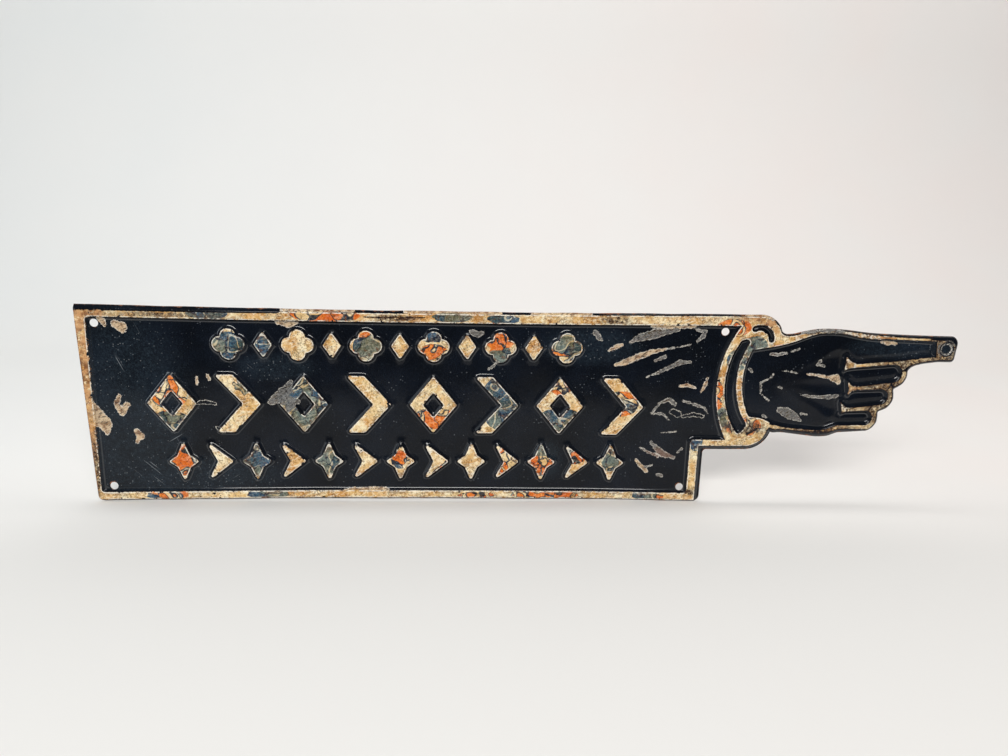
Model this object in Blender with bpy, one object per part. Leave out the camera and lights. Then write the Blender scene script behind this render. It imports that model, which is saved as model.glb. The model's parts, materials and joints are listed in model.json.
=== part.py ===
"""Pressed tinplate direction sign: an ornamented panel that ends in a cuffed, pointing hand.

The sign is one sheet of tinplate. A blank is laid out flat, pressed into relief between two
dies, trimmed to its outline with shears, and punched with four nail holes.

Frame: the sign hangs in the XZ plane and faces -Y. +X is the way the finger points, +Z is up.
The origin is on the flat back face, in the plain strip between the first and second rows of
ornament, midway along the panel.
"""
import math

import bmesh
import bpy
import numpy as np
from mathutils.geometry import delaunay_2d_cdt

MM = 0.001

# Sheet and relief
SHEET_THICKNESS = 0.0004
RELIEF_HEIGHT = 0.0022
WALL_ANGLE_DEG = 45.0
BLANK_MARGIN = 0.012

# Panel: the raised border round the field, and the metal left outside it by the shears
PANEL_LENGTH = 0.500
BORDER_WIDTH_TOP = 0.0065
BORDER_WIDTH_BOTTOM = 0.0060
BORDER_WIDTH_LEFT = 0.0080
BORDER_WIDTH_RIGHT = 0.0069
TRIM_TOP = 0.0027
TRIM_BOTTOM = 0.0012
TRIM_RIGHT = 0.0047
LEFT_TRIM_SLANT = 0.0053
BOTTOM_CORNER_RADIUS = 0.0050
NOTCH_RADIUS = 0.0030
FIELD_CORNER_RADIUS = 0.0030

# Rows of ornament, top to bottom
ROW_ONE_HEIGHT = 0.0250
ROW_TWO_HEIGHT = 0.0480
ROW_THREE_HEIGHT = 0.0340
ROW_GAP_UPPER = 0.0125
ROW_GAP_LOWER = 0.0080
FIELD_MARGIN_TOP = 0.0073
FIELD_MARGIN_BOTTOM = 0.0091
ROW_ONE_INDENT = 0.0840
ROW_TWO_INDENT = 0.0380
ROW_THREE_INDENT = 0.0440
ROW_ONE_SPACING = 0.0072
ROW_TWO_SPACING = 0.0150
ROW_THREE_SPACING = 0.0064
ORNAMENT_CORNER_RADIUS = 0.0012
QUATREFOIL_LOBE_RADIUS = 0.0062
SMALL_LOZENGE_WIDTH = 0.0140
SMALL_LOZENGE_HEIGHT = 0.0215
LARGE_LOZENGE_WIDTH = 0.0380
LARGE_LOZENGE_STROKE = 0.0082
CHEVRON_WIDTH = 0.0350
CHEVRON_STROKE = 0.0140
STAR_WIDTH = 0.0240
STAR_WAIST = 0.0071
ARROWHEAD_WIDTH = 0.0210
ARROWHEAD_NOTCH = 0.0085

# Nail holes, measured from the trimmed edges of the panel
NAIL_HOLE_DIAMETER = 0.0064
NAIL_HOLE_FROM_TOP = 0.0145
NAIL_HOLE_FROM_BOTTOM = 0.0122
NAIL_HOLE_FROM_UPPER_LEFT = 0.0136
NAIL_HOLE_FROM_LOWER_LEFT = 0.0174
NAIL_HOLE_FROM_RIGHT = 0.0174
NAIL_HOLE_BEHIND_WRIST = 0.0512

# Cuff: two curved bands, the round shoulder above the wrist and the heel below it
CUFF_LENGTH = 0.0620
WRIST_BELOW_TOP = 0.0575
BAND_CENTRE_PAST_WRIST = 0.0361
BAND_CENTRE_BELOW_WRIST = 0.0042
OUTER_BAND_RADIUS = 0.0912
OUTER_BAND_WIDTH = 0.0064
BAND_GAP_RADIUS = 0.0707
BAND_GAP_RISE = 0.0031
BAND_GAP_WIDTH = 0.0097
BAND_GAP_UP_DEG = 32.0
BAND_GAP_DOWN_DEG = 38.0
BAND_GAP_CORNER_RADIUS = 0.0028
INNER_BAND_RADIUS = 0.0647
INNER_BAND_RISE = 0.0066
INNER_BAND_WIDTH = 0.0048
INNER_BAND_UP_DEG = 34.5
INNER_BAND_DOWN_DEG = 35.5
SHOULDER_RADIUS = 0.0202
SHOULDER_BEHIND_WRIST = 0.0230
SHOULDER_END_DEG = 18.0
HEEL_RADIUS = 0.0220
HEEL_BEHIND_WRIST = 0.0265
HEEL_BELOW_WRIST = 0.0347
HEEL_START_DEG = -18.0
CUFF_BORDER_WIDTH = 0.0050
CRESCENT_OUTER_RADIUS = 0.0122
CRESCENT_WIDTH = 0.0050
CRESCENT_SPAN_DEG = 119.0

# Hand: the trimmed edge as drawn on the pattern, in millimetres from the wrist's centre
HAND_TRIM = 0.0016
PALM_TRIM = 0.0029
HEEL_TRIM = 0.0036
HAND_TOP_MM = ((-0.4, 42.1), (6.0, 42.6), (14.5, 44.7), (25.0, 46.5), (38.0, 46.9), (54.0, 45.7),
               (70.0, 43.9), (100.0, 42.6), (130.0, 42.0))
INDEX_UNDERSIDE_MM = ((132.0, 20.1), (119.0, 18.5), (111.5, 16.6))
PALM_BOTTOM_MM = ((61.0, -40.9), (51.5, -41.7), (44.5, -44.4), (34.0, -45.1), (17.9, -43.4),
                  (4.0, -41.8), (-2.5, -42.0))
FINGERTIP_REACH = 0.1462
FINGERTIP_TOP_RADIUS = 0.0070
FINGERTIP_LOW_RADIUS = 0.0030
FINGERTIP_SETBACK = 0.0012
FINGERTIP_LEAN_DEG = 10.0
FOLDED_FINGER_BORDER = 0.0061
FINGER_VALLEY_RADIUS = 0.0030
FOLDED_FINGERS_START_DEG = 8.0
FOLDED_FINGERS_END_DEG = -75.0

# Hand: the sunk surface inside the raised outline, in the same millimetres
BACK_TOP_MM = ((-28.5, 28.3), (-21.0, 30.0), (-10.0, 31.8), (5.0, 35.6), (19.8, 41.2), (31.7, 43.7),
               (46.5, 43.3), (58.8, 41.0), (76.1, 38.8), (105.8, 37.8), (126.6, 37.1))
INDEX_LOWER_EDGE_MM = ((127.6, 24.7), (114.1, 23.8), (97.3, 21.3), (80.4, 20.1), (60.5, 18.4))
BACK_BOTTOM_MM = ((61.9, -34.4), (50.5, -34.6), (43.5, -37.0), (36.0, -38.8), (23.4, -38.0),
                  (6.4, -36.3), (-5.0, -33.8), (-15.0, -29.5), (-25.0, -28.0))
RIDGE_FLARES_MM = (((52.0, 23.6), (51.2, 12.6)), ((55.0, 4.6), (57.0, -8.2)),
                   ((51.6, -14.6), (53.4, -24.0)))
# Folded fingers: upper root, centre of the round end, its radius, lower root
FOLDED_FINGERS_MM = (((60.0, 14.7), (93.4, 10.2), 7.1, (64.0, -0.8)),
                     ((64.0, -4.5), (84.7, -9.9), 6.2, (59.5, -19.1)),
                     ((58.0, -22.7), (73.5, -28.1), 5.9, (61.9, -34.4)))
NAIL_CENTRE_MM = (136.2, 31.1)
NAIL_RADIUS = 0.0052
NAIL_DEPTH = 0.0011

# Hand: rounding of the back, tendons, knuckles and fingers
BACK_RISE = 0.0010
TENDON_RISE = 0.0006
TENDON_WIDTH = 0.0080
KNUCKLE_RISE = 0.0007
KNUCKLE_WIDTH = 0.0110
KNUCKLES_MM = ((42.0, 31.0), (44.0, 8.0), (44.0, -11.5), (42.0, -28.0))
TENDON_START_MM = (-8.0, 2.0)
FINGER_CROWN = 0.0006
HAND_LATTICE = 0.0035
LATTICE_CLEARANCE = 0.0012
EDGE_BLEND = 0.0045

# Making
CHORD_ERROR = 0.0002
HOLE_SIDES = 24
CUTTER_REACH = 0.020
LAYOUT_TOLERANCE = 1e-7
WELD_DISTANCE = 1e-6
SHARP_ANGLE_DEG = 25.0

RAISED, SUNK = 1.0, -1.0


def wall_run():
    """Width, seen from the front, of the sloping wall between two levels of the relief."""
    return RELIEF_HEIGHT / math.tan(math.radians(WALL_ANGLE_DEG))


def polar(centre, radius, angle_deg):
    """The point at an angle on a circle."""
    angle = math.radians(angle_deg)
    return centre[0] + radius * math.cos(angle), centre[1] + radius * math.sin(angle)


def arc(centre, radius, start_deg, end_deg):
    """Points of a circular arc, both ends included, with chords that stay close to it."""
    step_deg = math.degrees(2.0 * math.acos(1.0 - CHORD_ERROR / radius))
    steps = max(1, math.ceil(abs(end_deg - start_deg) / step_deg))
    return [polar(centre, radius, angle) for angle in np.linspace(start_deg, end_deg, steps + 1)]


def smooth_curve(points, steps=2):
    """Catmull-Rom curve through the points, with a number of steps to each span."""
    p = np.array(points, dtype=float)
    p = np.vstack([2 * p[0] - p[1], p, 2 * p[-1] - p[-2]])
    curve = []
    for a, b, c, d in zip(p[:-3], p[1:-2], p[2:-1], p[3:]):
        for t in np.arange(steps) / steps:
            bend = (2 * a - 5 * b + 4 * c - d) * t ** 2 + (3 * b - a - 3 * c + d) * t ** 3
            curve.append(tuple(0.5 * (2 * b + (c - a) * t + bend)))
    curve.append(tuple(p[-2]))
    return curve


def grow(loop, distance):
    """Moves every edge of a counter-clockwise loop outward by its distance, with mitred corners."""
    p = np.array(loop, dtype=float)
    distance = np.broadcast_to(distance, len(p)).reshape(-1, 1)
    ahead = np.roll(p, -1, axis=0) - p
    ahead /= np.linalg.norm(ahead, axis=1, keepdims=True)
    outward = np.stack([ahead[:, 1], -ahead[:, 0]], axis=1)
    before = np.roll(outward, 1, axis=0)
    mitre = (outward + before) / (1.0 + np.sum(outward * before, axis=1, keepdims=True))
    return [tuple(q) for q in p + mitre * distance]


def fillet(loop, radius):
    """Rounds the corners of a loop. A radius of nought leaves its corner as it is."""
    p = np.array(loop, dtype=float)
    radii = np.broadcast_to(radius, len(p))
    rounded = []
    for before, corner, after, r in zip(np.roll(p, 1, axis=0), p, np.roll(p, -1, axis=0), radii):
        if r == 0.0:
            rounded.append(tuple(corner))
            continue
        a = (before - corner) / np.linalg.norm(before - corner)
        b = (after - corner) / np.linalg.norm(after - corner)
        half_angle = math.acos(np.clip(np.dot(a, b), -1.0, 1.0)) / 2.0
        middle = corner + (a + b) / np.linalg.norm(a + b) * r / math.sin(half_angle)
        start = corner + a * r / math.tan(half_angle) - middle
        turn = math.degrees(math.pi - 2.0 * half_angle)
        side = math.copysign(1.0, a[1] * b[0] - a[0] * b[1])
        first = math.degrees(math.atan2(start[1], start[0]))
        rounded += arc(middle, r, first, first + side * turn)
    return rounded


def from_wrist(points_mm):
    """Turns points drawn in millimetres from the wrist's centre into metres in the part's frame."""
    wrist = wrist_centre()
    return [(wrist[0] + x * MM, wrist[1] + z * MM) for x, z in points_mm]


def panel_lines():
    """Heights of the panel's lines, stacked from the origin outward."""
    z = {"row_one_low": ROW_GAP_UPPER / 2.0, "row_two_top": -ROW_GAP_UPPER / 2.0}
    z["row_one_top"] = z["row_one_low"] + ROW_ONE_HEIGHT
    z["row_two_low"] = z["row_two_top"] - ROW_TWO_HEIGHT
    z["row_three_top"] = z["row_two_low"] - ROW_GAP_LOWER
    z["row_three_low"] = z["row_three_top"] - ROW_THREE_HEIGHT
    z["field_top"] = z["row_one_top"] + FIELD_MARGIN_TOP
    z["field_low"] = z["row_three_low"] - FIELD_MARGIN_BOTTOM
    z["border_top"] = z["field_top"] + BORDER_WIDTH_TOP
    z["border_low"] = z["field_low"] - BORDER_WIDTH_BOTTOM
    z["edge_top"] = z["border_top"] + TRIM_TOP
    z["edge_low"] = z["border_low"] - TRIM_BOTTOM
    return z


def wrist_centre():
    """Where the cuff meets the hand."""
    return PANEL_LENGTH / 2.0 + CUFF_LENGTH, panel_lines()["edge_top"] - WRIST_BELOW_TOP


def band_centre():
    """Common centre of the cuff's two curved bands."""
    wrist = wrist_centre()
    return wrist[0] + BAND_CENTRE_PAST_WRIST, wrist[1] - BAND_CENTRE_BELOW_WRIST


def band_gap_sides():
    """Centre and radius of each side of the strip between the bands, which narrows upward."""
    centre = band_centre()
    edge = centre[0] - OUTER_BAND_RADIUS + OUTER_BAND_WIDTH
    outer = (edge + BAND_GAP_RADIUS, centre[1] + BAND_GAP_RISE)
    inner = (edge + BAND_GAP_WIDTH + INNER_BAND_RADIUS, centre[1] + INNER_BAND_RISE)
    return (outer, BAND_GAP_RADIUS), (inner, INNER_BAND_RADIUS)


def crossing_angles(centre_a, radius_a, centre_b, radius_b):
    """Angles, seen from each centre, of the outer point where two round finger ends cross."""
    a, b = np.array(centre_a), np.array(centre_b)
    gap = np.linalg.norm(b - a)
    along = (gap ** 2 + radius_a ** 2 - radius_b ** 2) / (2.0 * gap)
    aside = math.sqrt(radius_a ** 2 - along ** 2)
    ahead = (b - a) / gap
    point = a + ahead * along + np.array((-ahead[1], ahead[0])) * aside
    return [math.degrees(math.atan2(*(point - c)[::-1])) for c in (a, b)]


def fingertip():
    """Trimmed edge of the pointing finger's end, from its top edge to its underside."""
    reach = wrist_centre()[0] + FINGERTIP_REACH
    top = from_wrist(HAND_TOP_MM)[-1][1] - FINGERTIP_TOP_RADIUS
    low = from_wrist(INDEX_UNDERSIDE_MM)[0][1] + FINGERTIP_LOW_RADIUS
    upper = arc((reach - FINGERTIP_TOP_RADIUS, top), FINGERTIP_TOP_RADIUS,
                90.0 - FINGERTIP_LEAN_DEG, 0.0)
    lower = arc((reach - FINGERTIP_SETBACK - FINGERTIP_LOW_RADIUS, low), FINGERTIP_LOW_RADIUS,
                -FINGERTIP_LEAN_DEG, -90.0)
    return upper + lower


def folded_finger_ends():
    """Trimmed edge round the folded fingers, a chain of arcs that meet in rounded valleys."""
    centres = from_wrist([finger[1] for finger in FOLDED_FINGERS_MM])
    radii = [finger[2] * MM + FOLDED_FINGER_BORDER for finger in FOLDED_FINGERS_MM]
    starts, ends = [FOLDED_FINGERS_START_DEG], []
    for i in range(len(centres) - 1):
        leave, arrive = crossing_angles(centres[i], radii[i], centres[i + 1], radii[i + 1])
        ends.append(leave)
        starts.append(arrive)
    ends.append(FOLDED_FINGERS_END_DEG)
    edge, corners = [], []
    for centre, radius, start, end in zip(centres, radii, starts, ends):
        round_end = arc(centre, radius, start, end)
        corners = corners[:-1] + [FINGER_VALLEY_RADIUS if edge else 0.0] + [0.0] * (len(round_end) - 1)
        edge = edge[:-1] + round_end
    return fillet(edge, corners)


def hand_edge():
    """Trimmed edge of cuff and hand, clockwise from the shoulder to the heel, with trim widths."""
    wrist = wrist_centre()
    shoulder = (wrist[0] - SHOULDER_BEHIND_WRIST, panel_lines()["edge_top"] - SHOULDER_RADIUS)
    heel = (wrist[0] - HEEL_BEHIND_WRIST, wrist[1] - HEEL_BELOW_WRIST)
    hand = arc(shoulder, SHOULDER_RADIUS, 90.0, SHOULDER_END_DEG)
    hand += smooth_curve(from_wrist(HAND_TOP_MM))
    hand += fingertip()
    hand += smooth_curve(from_wrist(INDEX_UNDERSIDE_MM))
    hand += folded_finger_ends()
    palm = smooth_curve(from_wrist(PALM_BOTTOM_MM))
    cuff = arc(heel, HEEL_RADIUS, HEEL_START_DEG, -90.0)
    trims = [HAND_TRIM] * len(hand) + [PALM_TRIM] * len(palm) + [HEEL_TRIM] * len(cuff)
    return hand + palm + cuff, trims


def trimmed_outline():
    """The sheet's cut edge. Its left end was cut a little out of square."""
    half = PANEL_LENGTH / 2.0
    low = panel_lines()["edge_low"]
    hand, _ = hand_edge()
    corners = [(half, hand[-1][1]), (half, low), (-half + LEFT_TRIM_SLANT, low), (-half, hand[0][1])]
    radii = [0.0] * len(hand) + [NOTCH_RADIUS, BOTTOM_CORNER_RADIUS, BOTTOM_CORNER_RADIUS, 0.0]
    return fillet(hand + corners, radii)[::-1]


def border_crest():
    """Outer edge of the raised border. At the left end it lies outside the cut edge."""
    z = panel_lines()
    half = PANEL_LENGTH / 2.0
    left, right = -half - BLANK_MARGIN / 2.0, half - TRIM_RIGHT
    hand, trims = hand_edge()
    closing = [(half, hand[-1][1]), (left, hand[-1][1]), (left, hand[0][1])]
    widths = np.array(trims + [HEEL_TRIM, HEEL_TRIM, TRIM_TOP])
    crest = grow((hand + closing)[::-1], -widths[::-1])[::-1][:len(hand)]
    corners = [(right, crest[-1][1]), (right, z["border_low"]), (left, z["border_low"]),
               (left, z["border_top"])]
    return (crest + corners)[::-1]


def field_rim():
    """Upper edge of the sunk field: the panel, and on past it as far as the cuff's outer band."""
    z = panel_lines()
    half = PANEL_LENGTH / 2.0
    left, right = -half + BORDER_WIDTH_LEFT, half - TRIM_RIGHT - BORDER_WIDTH_RIGHT
    centre = band_centre()
    cuff_low = hand_edge()[0][-1][1] + HEEL_TRIM + CUFF_BORDER_WIDTH
    down = 180.0 + math.degrees(math.asin((centre[1] - cuff_low) / OUTER_BAND_RADIUS))
    up = 180.0 - math.degrees(math.asin((z["field_top"] - centre[1]) / OUTER_BAND_RADIUS))
    band = arc(centre, OUTER_BAND_RADIUS, down, up)
    corners = [(left, z["field_low"]), (right, z["field_low"]), (right, cuff_low)]
    radii = [FIELD_CORNER_RADIUS] * 3 + [0.0] * len(band) + [FIELD_CORNER_RADIUS]
    return fillet(corners + band + [(left, z["field_top"])], radii)


def curved_slot(centre, outer_radius, inner_radius, start_deg, end_deg):
    """Counter-clockwise slot between two arcs, with round ends."""
    middle, end_radius = (outer_radius + inner_radius) / 2.0, (outer_radius - inner_radius) / 2.0
    first, last = polar(centre, middle, start_deg), polar(centre, middle, end_deg)
    return (arc(centre, outer_radius, start_deg, end_deg)
            + arc(last, end_radius, end_deg, end_deg + 180.0)[1:-1]
            + arc(centre, inner_radius, end_deg, start_deg)
            + arc(first, end_radius, start_deg + 180.0, start_deg + 360.0)[1:-1])


def band_gap_rim():
    """Sunk strip between the cuff's two bands."""
    outer, inner = band_gap_sides()
    left = arc(*outer, 180.0 - BAND_GAP_UP_DEG, 180.0 + BAND_GAP_DOWN_DEG)
    right = arc(*inner, 180.0 + INNER_BAND_DOWN_DEG, 180.0 - INNER_BAND_UP_DEG)
    radii = []
    for side in (left, right):
        radii += [BAND_GAP_CORNER_RADIUS] + [0.0] * (len(side) - 2) + [BAND_GAP_CORNER_RADIUS]
    return fillet(left + right, radii)


def crescent_rim():
    """Sunk crescent under the cuff's shoulder."""
    wrist = wrist_centre()
    centre = (wrist[0] - SHOULDER_BEHIND_WRIST, panel_lines()["edge_top"] - SHOULDER_RADIUS)
    return curved_slot(centre, CRESCENT_OUTER_RADIUS, CRESCENT_OUTER_RADIUS - CRESCENT_WIDTH,
                       0.0, CRESCENT_SPAN_DEG)


def folded_finger_rim(upper_root, centre, radius, lower_root):
    """Edge of one folded finger: out along its top, round its end and back underneath."""
    root = (np.array(upper_root) + lower_root) / 2.0
    lean = math.degrees(math.atan2(centre[1] - root[1], centre[0] - root[0]))
    round_end = [(x / MM, z / MM) for x, z in arc((centre[0] * MM, centre[1] * MM), radius * MM,
                                                  lean + 90.0, lean - 90.0)]
    return [upper_root] + round_end + [lower_root]


def hand_rim():
    """Upper edge of the sunk surface of the hand, with the ridges between its fingers."""
    edge = smooth_curve(BACK_TOP_MM)
    edge += smooth_curve(INDEX_LOWER_EDGE_MM)
    for finger, (flare_top, flare_low) in zip(FOLDED_FINGERS_MM, RIDGE_FLARES_MM):
        edge += [flare_top, flare_low] + folded_finger_rim(*finger)
    edge += smooth_curve(BACK_BOTTOM_MM)[1:]
    edge = from_wrist(edge)
    centre, radius = band_gap_sides()[1]
    radius -= INNER_BAND_WIDTH
    down, up = [180.0 - math.degrees(math.asin((z - centre[1]) / radius))
                for z in (edge[-1][1], edge[0][1])]
    return (edge + arc(centre, radius, down, up)[1:-1])[::-1]


def quatrefoil(height):
    """Four round lobes."""
    reach = height / 2.0 - QUATREFOIL_LOBE_RADIUS
    meet = (reach + math.sqrt(2.0 * QUATREFOIL_LOBE_RADIUS ** 2 - reach ** 2)) / 2.0
    half_turn = math.degrees(math.atan2(meet, meet - reach))
    outline = []
    for turn in (0.0, 90.0, 180.0, 270.0):
        lobe = polar((0.0, 0.0), reach, turn)
        outline += arc(lobe, QUATREFOIL_LOBE_RADIUS, turn - half_turn, turn + half_turn)[:-1]
    return [(outline, RAISED)]


def lozenge(width, height, stroke=None):
    """A diamond, hollow where a stroke is given."""
    outline = [(0.0, -height / 2.0), (width / 2.0, 0.0), (0.0, height / 2.0), (-width / 2.0, 0.0)]
    shape = [(fillet(outline, ORNAMENT_CORNER_RADIUS), RAISED)]
    if stroke is not None:
        shape.append((fillet(grow(outline, -stroke), ORNAMENT_CORNER_RADIUS), SUNK))
    return shape


def chevron(width, height, stroke):
    """An angle bracket that points right."""
    back, tail = -width / 2.0, -width / 2.0 + stroke
    outline = [(back, -height / 2.0), (tail, -height / 2.0), (width / 2.0, 0.0),
               (tail, height / 2.0), (back, height / 2.0), (width / 2.0 - stroke, 0.0)]
    return [(fillet(outline, ORNAMENT_CORNER_RADIUS), RAISED)]


def star(width, height, waist):
    """Four points with drawn-in sides."""
    outline = []
    for quarter, reach in enumerate((width, height, width, height)):
        outline.append(polar((0.0, 0.0), reach / 2.0, 90.0 * quarter))
        outline.append(polar((0.0, 0.0), waist, 90.0 * quarter + 45.0))
    return [(fillet(outline, ORNAMENT_CORNER_RADIUS), RAISED)]


def arrowhead(width, height, notch):
    """A swallow-tailed arrowhead that points right."""
    outline = [(-width / 2.0, -height / 2.0), (width / 2.0, 0.0), (-width / 2.0, height / 2.0),
               (-width / 2.0 + notch, 0.0)]
    return [(fillet(outline, ORNAMENT_CORNER_RADIUS), RAISED)]


def lay_row(shapes, widths, spacing, indent, centre_height):
    """Repeats the shapes along a row as often as they fit, centred on the field."""
    half = PANEL_LENGTH / 2.0
    left, right = -half + BORDER_WIDTH_LEFT, half - TRIM_RIGHT - BORDER_WIDTH_RIGHT
    room = right - left - 2.0 * indent
    places, cursor = [], 0.0
    while cursor + widths[len(places) % len(widths)] <= room:
        width = widths[len(places) % len(widths)]
        places.append(cursor + width / 2.0)
        cursor += width + spacing
    start = (left + right - cursor + spacing) / 2.0
    placed = []
    for i, place in enumerate(places):
        for loop, side in shapes[i % len(shapes)]:
            placed.append(([(start + place + x, centre_height + z) for x, z in loop], side))
    return placed


def ornament_rims():
    """Upper edges of the ornaments in all three rows."""
    z = panel_lines()
    rows = lay_row([quatrefoil(ROW_ONE_HEIGHT), lozenge(SMALL_LOZENGE_WIDTH, SMALL_LOZENGE_HEIGHT)],
                   [ROW_ONE_HEIGHT, SMALL_LOZENGE_WIDTH], ROW_ONE_SPACING, ROW_ONE_INDENT,
                   (z["row_one_top"] + z["row_one_low"]) / 2.0)
    rows += lay_row([lozenge(LARGE_LOZENGE_WIDTH, ROW_TWO_HEIGHT, LARGE_LOZENGE_STROKE),
                     chevron(CHEVRON_WIDTH, ROW_TWO_HEIGHT, CHEVRON_STROKE)],
                    [LARGE_LOZENGE_WIDTH, CHEVRON_WIDTH], ROW_TWO_SPACING, ROW_TWO_INDENT,
                    (z["row_two_top"] + z["row_two_low"]) / 2.0)
    rows += lay_row([star(STAR_WIDTH, ROW_THREE_HEIGHT, STAR_WAIST),
                     arrowhead(ARROWHEAD_WIDTH, ROW_THREE_HEIGHT, ARROWHEAD_NOTCH)],
                    [STAR_WIDTH, ARROWHEAD_WIDTH], ROW_THREE_SPACING, ROW_THREE_INDENT,
                    (z["row_three_top"] + z["row_three_low"]) / 2.0)
    return rows


def relief_rims():
    """Upper edges of every wall of the relief, each raised or sunk, and how deep its wall goes."""
    nail = arc(from_wrist([NAIL_CENTRE_MM])[0], NAIL_RADIUS, 0.0, 360.0)[:-1]
    sunk = [field_rim(), band_gap_rim(), crescent_rim(), hand_rim()]
    rims = [(border_crest(), RAISED)] + [(loop, SUNK) for loop in sunk] + ornament_rims()
    return [(loop, side, RELIEF_HEIGHT) for loop, side in rims] + [(nail, SUNK, NAIL_DEPTH)]


def inside(points, loop):
    """Which points lie inside a closed loop, by the even and odd rule."""
    a = np.array(loop)
    b = np.roll(a, -1, axis=0)
    x, z = points[:, :1], points[:, 1:]
    spans = (a[:, 1] > z) != (b[:, 1] > z)
    rise = np.where(b[:, 1] == a[:, 1], 1.0, b[:, 1] - a[:, 1])
    crossing = a[:, 0] + (z - a[:, 1]) * (b[:, 0] - a[:, 0]) / rise
    return np.sum(spans & (x < crossing), axis=1) % 2 == 1


def distance_to(points, loop):
    """Distance from each point to the nearest edge of a closed loop."""
    a = np.array(loop)
    edge = np.roll(a, -1, axis=0) - a
    to_point = points[:, None, :] - a[None]
    along = np.clip(np.sum(to_point * edge, axis=2) / np.sum(edge * edge, axis=1), 0.0, 1.0)
    return np.min(np.linalg.norm(to_point - along[..., None] * edge, axis=2), axis=1)


def ease(t):
    """Smooth step from nought to one."""
    t = np.clip(t, 0.0, 1.0)
    return t * t * (3.0 - 2.0 * t)


def hand_rise(points, floor):
    """Height of the rounded back, tendons, knuckles and fingers above the hand's sunk floor."""
    knuckles = np.array(from_wrist(KNUCKLES_MM))
    start = np.array(from_wrist([TENDON_START_MM])[0])
    x = points[:, 0]
    cuff_end, line = from_wrist(BACK_TOP_MM)[0][0], np.max(knuckles[:, 0])
    back = ease((x - cuff_end) / (line - cuff_end)) * (1.0 - ease((x - line) / KNUCKLE_WIDTH))
    rise = BACK_RISE * back + FINGER_CROWN * ease((x - line) / KNUCKLE_WIDTH)
    for knuckle in knuckles:
        tendon = knuckle - start
        share = np.clip((points - start) @ tendon / (tendon @ tendon), 0.0, 1.0)
        aside = np.linalg.norm(points - start - share[:, None] * tendon, axis=1)
        rise += TENDON_RISE * share * np.exp(-(aside / (TENDON_WIDTH / 2.0)) ** 2)
        away = np.linalg.norm(points - knuckle, axis=1)
        rise += KNUCKLE_RISE * np.exp(-(away / (KNUCKLE_WIDTH / 2.0)) ** 2)
    return rise * ease(distance_to(points, floor) / EDGE_BLEND)


def hand_lattice(floor):
    """A lattice of points over the hand's sunk floor, clear of its edge."""
    low, high = np.min(floor, axis=0), np.max(floor, axis=0)
    rows = np.arange(low[1], high[1], HAND_LATTICE * math.sqrt(0.75))
    points = []
    for i, z in enumerate(rows):
        start = low[0] + (i % 2) * HAND_LATTICE / 2.0
        points += [(x, z) for x in np.arange(start, high[0], HAND_LATTICE)]
    points = np.array(points)
    points = points[inside(points, floor)]
    return points[distance_to(points, floor) > LATTICE_CLEARANCE]


def blank_corners():
    """The flat sheet before it is pressed, larger than the finished sign all round."""
    outline = np.array(trimmed_outline())
    low, high = outline.min(axis=0) - BLANK_MARGIN, outline.max(axis=0) + BLANK_MARGIN
    return [(low[0], low[1]), (high[0], low[1]), (high[0], high[1]), (low[0], high[1])]


def lay_out():
    """Every line of the relief on the flat blank: points, their heights and the edges."""
    points = blank_corners()
    heights = [0.0] * 4
    edges = [(i, (i + 1) % 4) for i in range(4)]
    for rim, side, depth in relief_rims():
        run = wall_run() * depth / RELIEF_HEIGHT
        count, first = len(rim), len(points)
        points += rim + grow(rim, side * run)
        heights += [RELIEF_HEIGHT] * count + [RELIEF_HEIGHT - depth] * count
        for i in range(count):
            ahead = (i + 1) % count
            edges += [(first + i, first + ahead), (first + count + i, first + count + ahead),
                      (first + i, first + count + i)]
    floor = grow(hand_rim(), -wall_run())
    lattice = hand_lattice(floor)
    points += [tuple(p) for p in lattice]
    heights += list(hand_rise(lattice, floor))
    return points, heights, edges


def collection(name):
    """A new collection in the scene."""
    group = bpy.data.collections.new(name)
    bpy.context.scene.collection.children.link(group)
    return group


def press_sheet(name, group):
    """Presses the blank: its front carries the relief and its back follows at one thickness.

    The thickness is kept straight back, so the sloping walls come out thinner than the flats,
    as they do when a die stretches the metal.
    """
    points, heights, edges = lay_out()
    vertices, _, faces, sources, _, _ = delaunay_2d_cdt(points, edges, [], 0, LAYOUT_TOLERANCE, True)
    sheet = bmesh.new()
    for vertex, source in zip(vertices, sources):
        height = heights[source[0]] if source else 0.0
        sheet.verts.new((vertex[0], -SHEET_THICKNESS - height, vertex[1]))
    sheet.verts.ensure_lookup_table()
    for face in faces:
        sheet.faces.new([sheet.verts[i] for i in face])
    extruded = bmesh.ops.extrude_face_region(sheet, geom=sheet.faces[:])
    back = [item for item in extruded["geom"] if isinstance(item, bmesh.types.BMVert)]
    bmesh.ops.translate(sheet, verts=back, vec=(0.0, SHEET_THICKNESS, 0.0))
    bmesh.ops.recalc_face_normals(sheet, faces=sheet.faces[:])
    mesh = bpy.data.meshes.new(name)
    sheet.to_mesh(mesh)
    sheet.free()
    obj = bpy.data.objects.new(name, mesh)
    group.objects.link(obj)
    return obj


def mark_as_cutter(obj, group):
    """Moves an object to the cutters' collection and shows it as wire only."""
    for owner in obj.users_collection:
        owner.objects.unlink(obj)
    group.objects.link(obj)
    obj.hide_render = True
    obj.display_type = "WIRE"
    return obj


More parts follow.
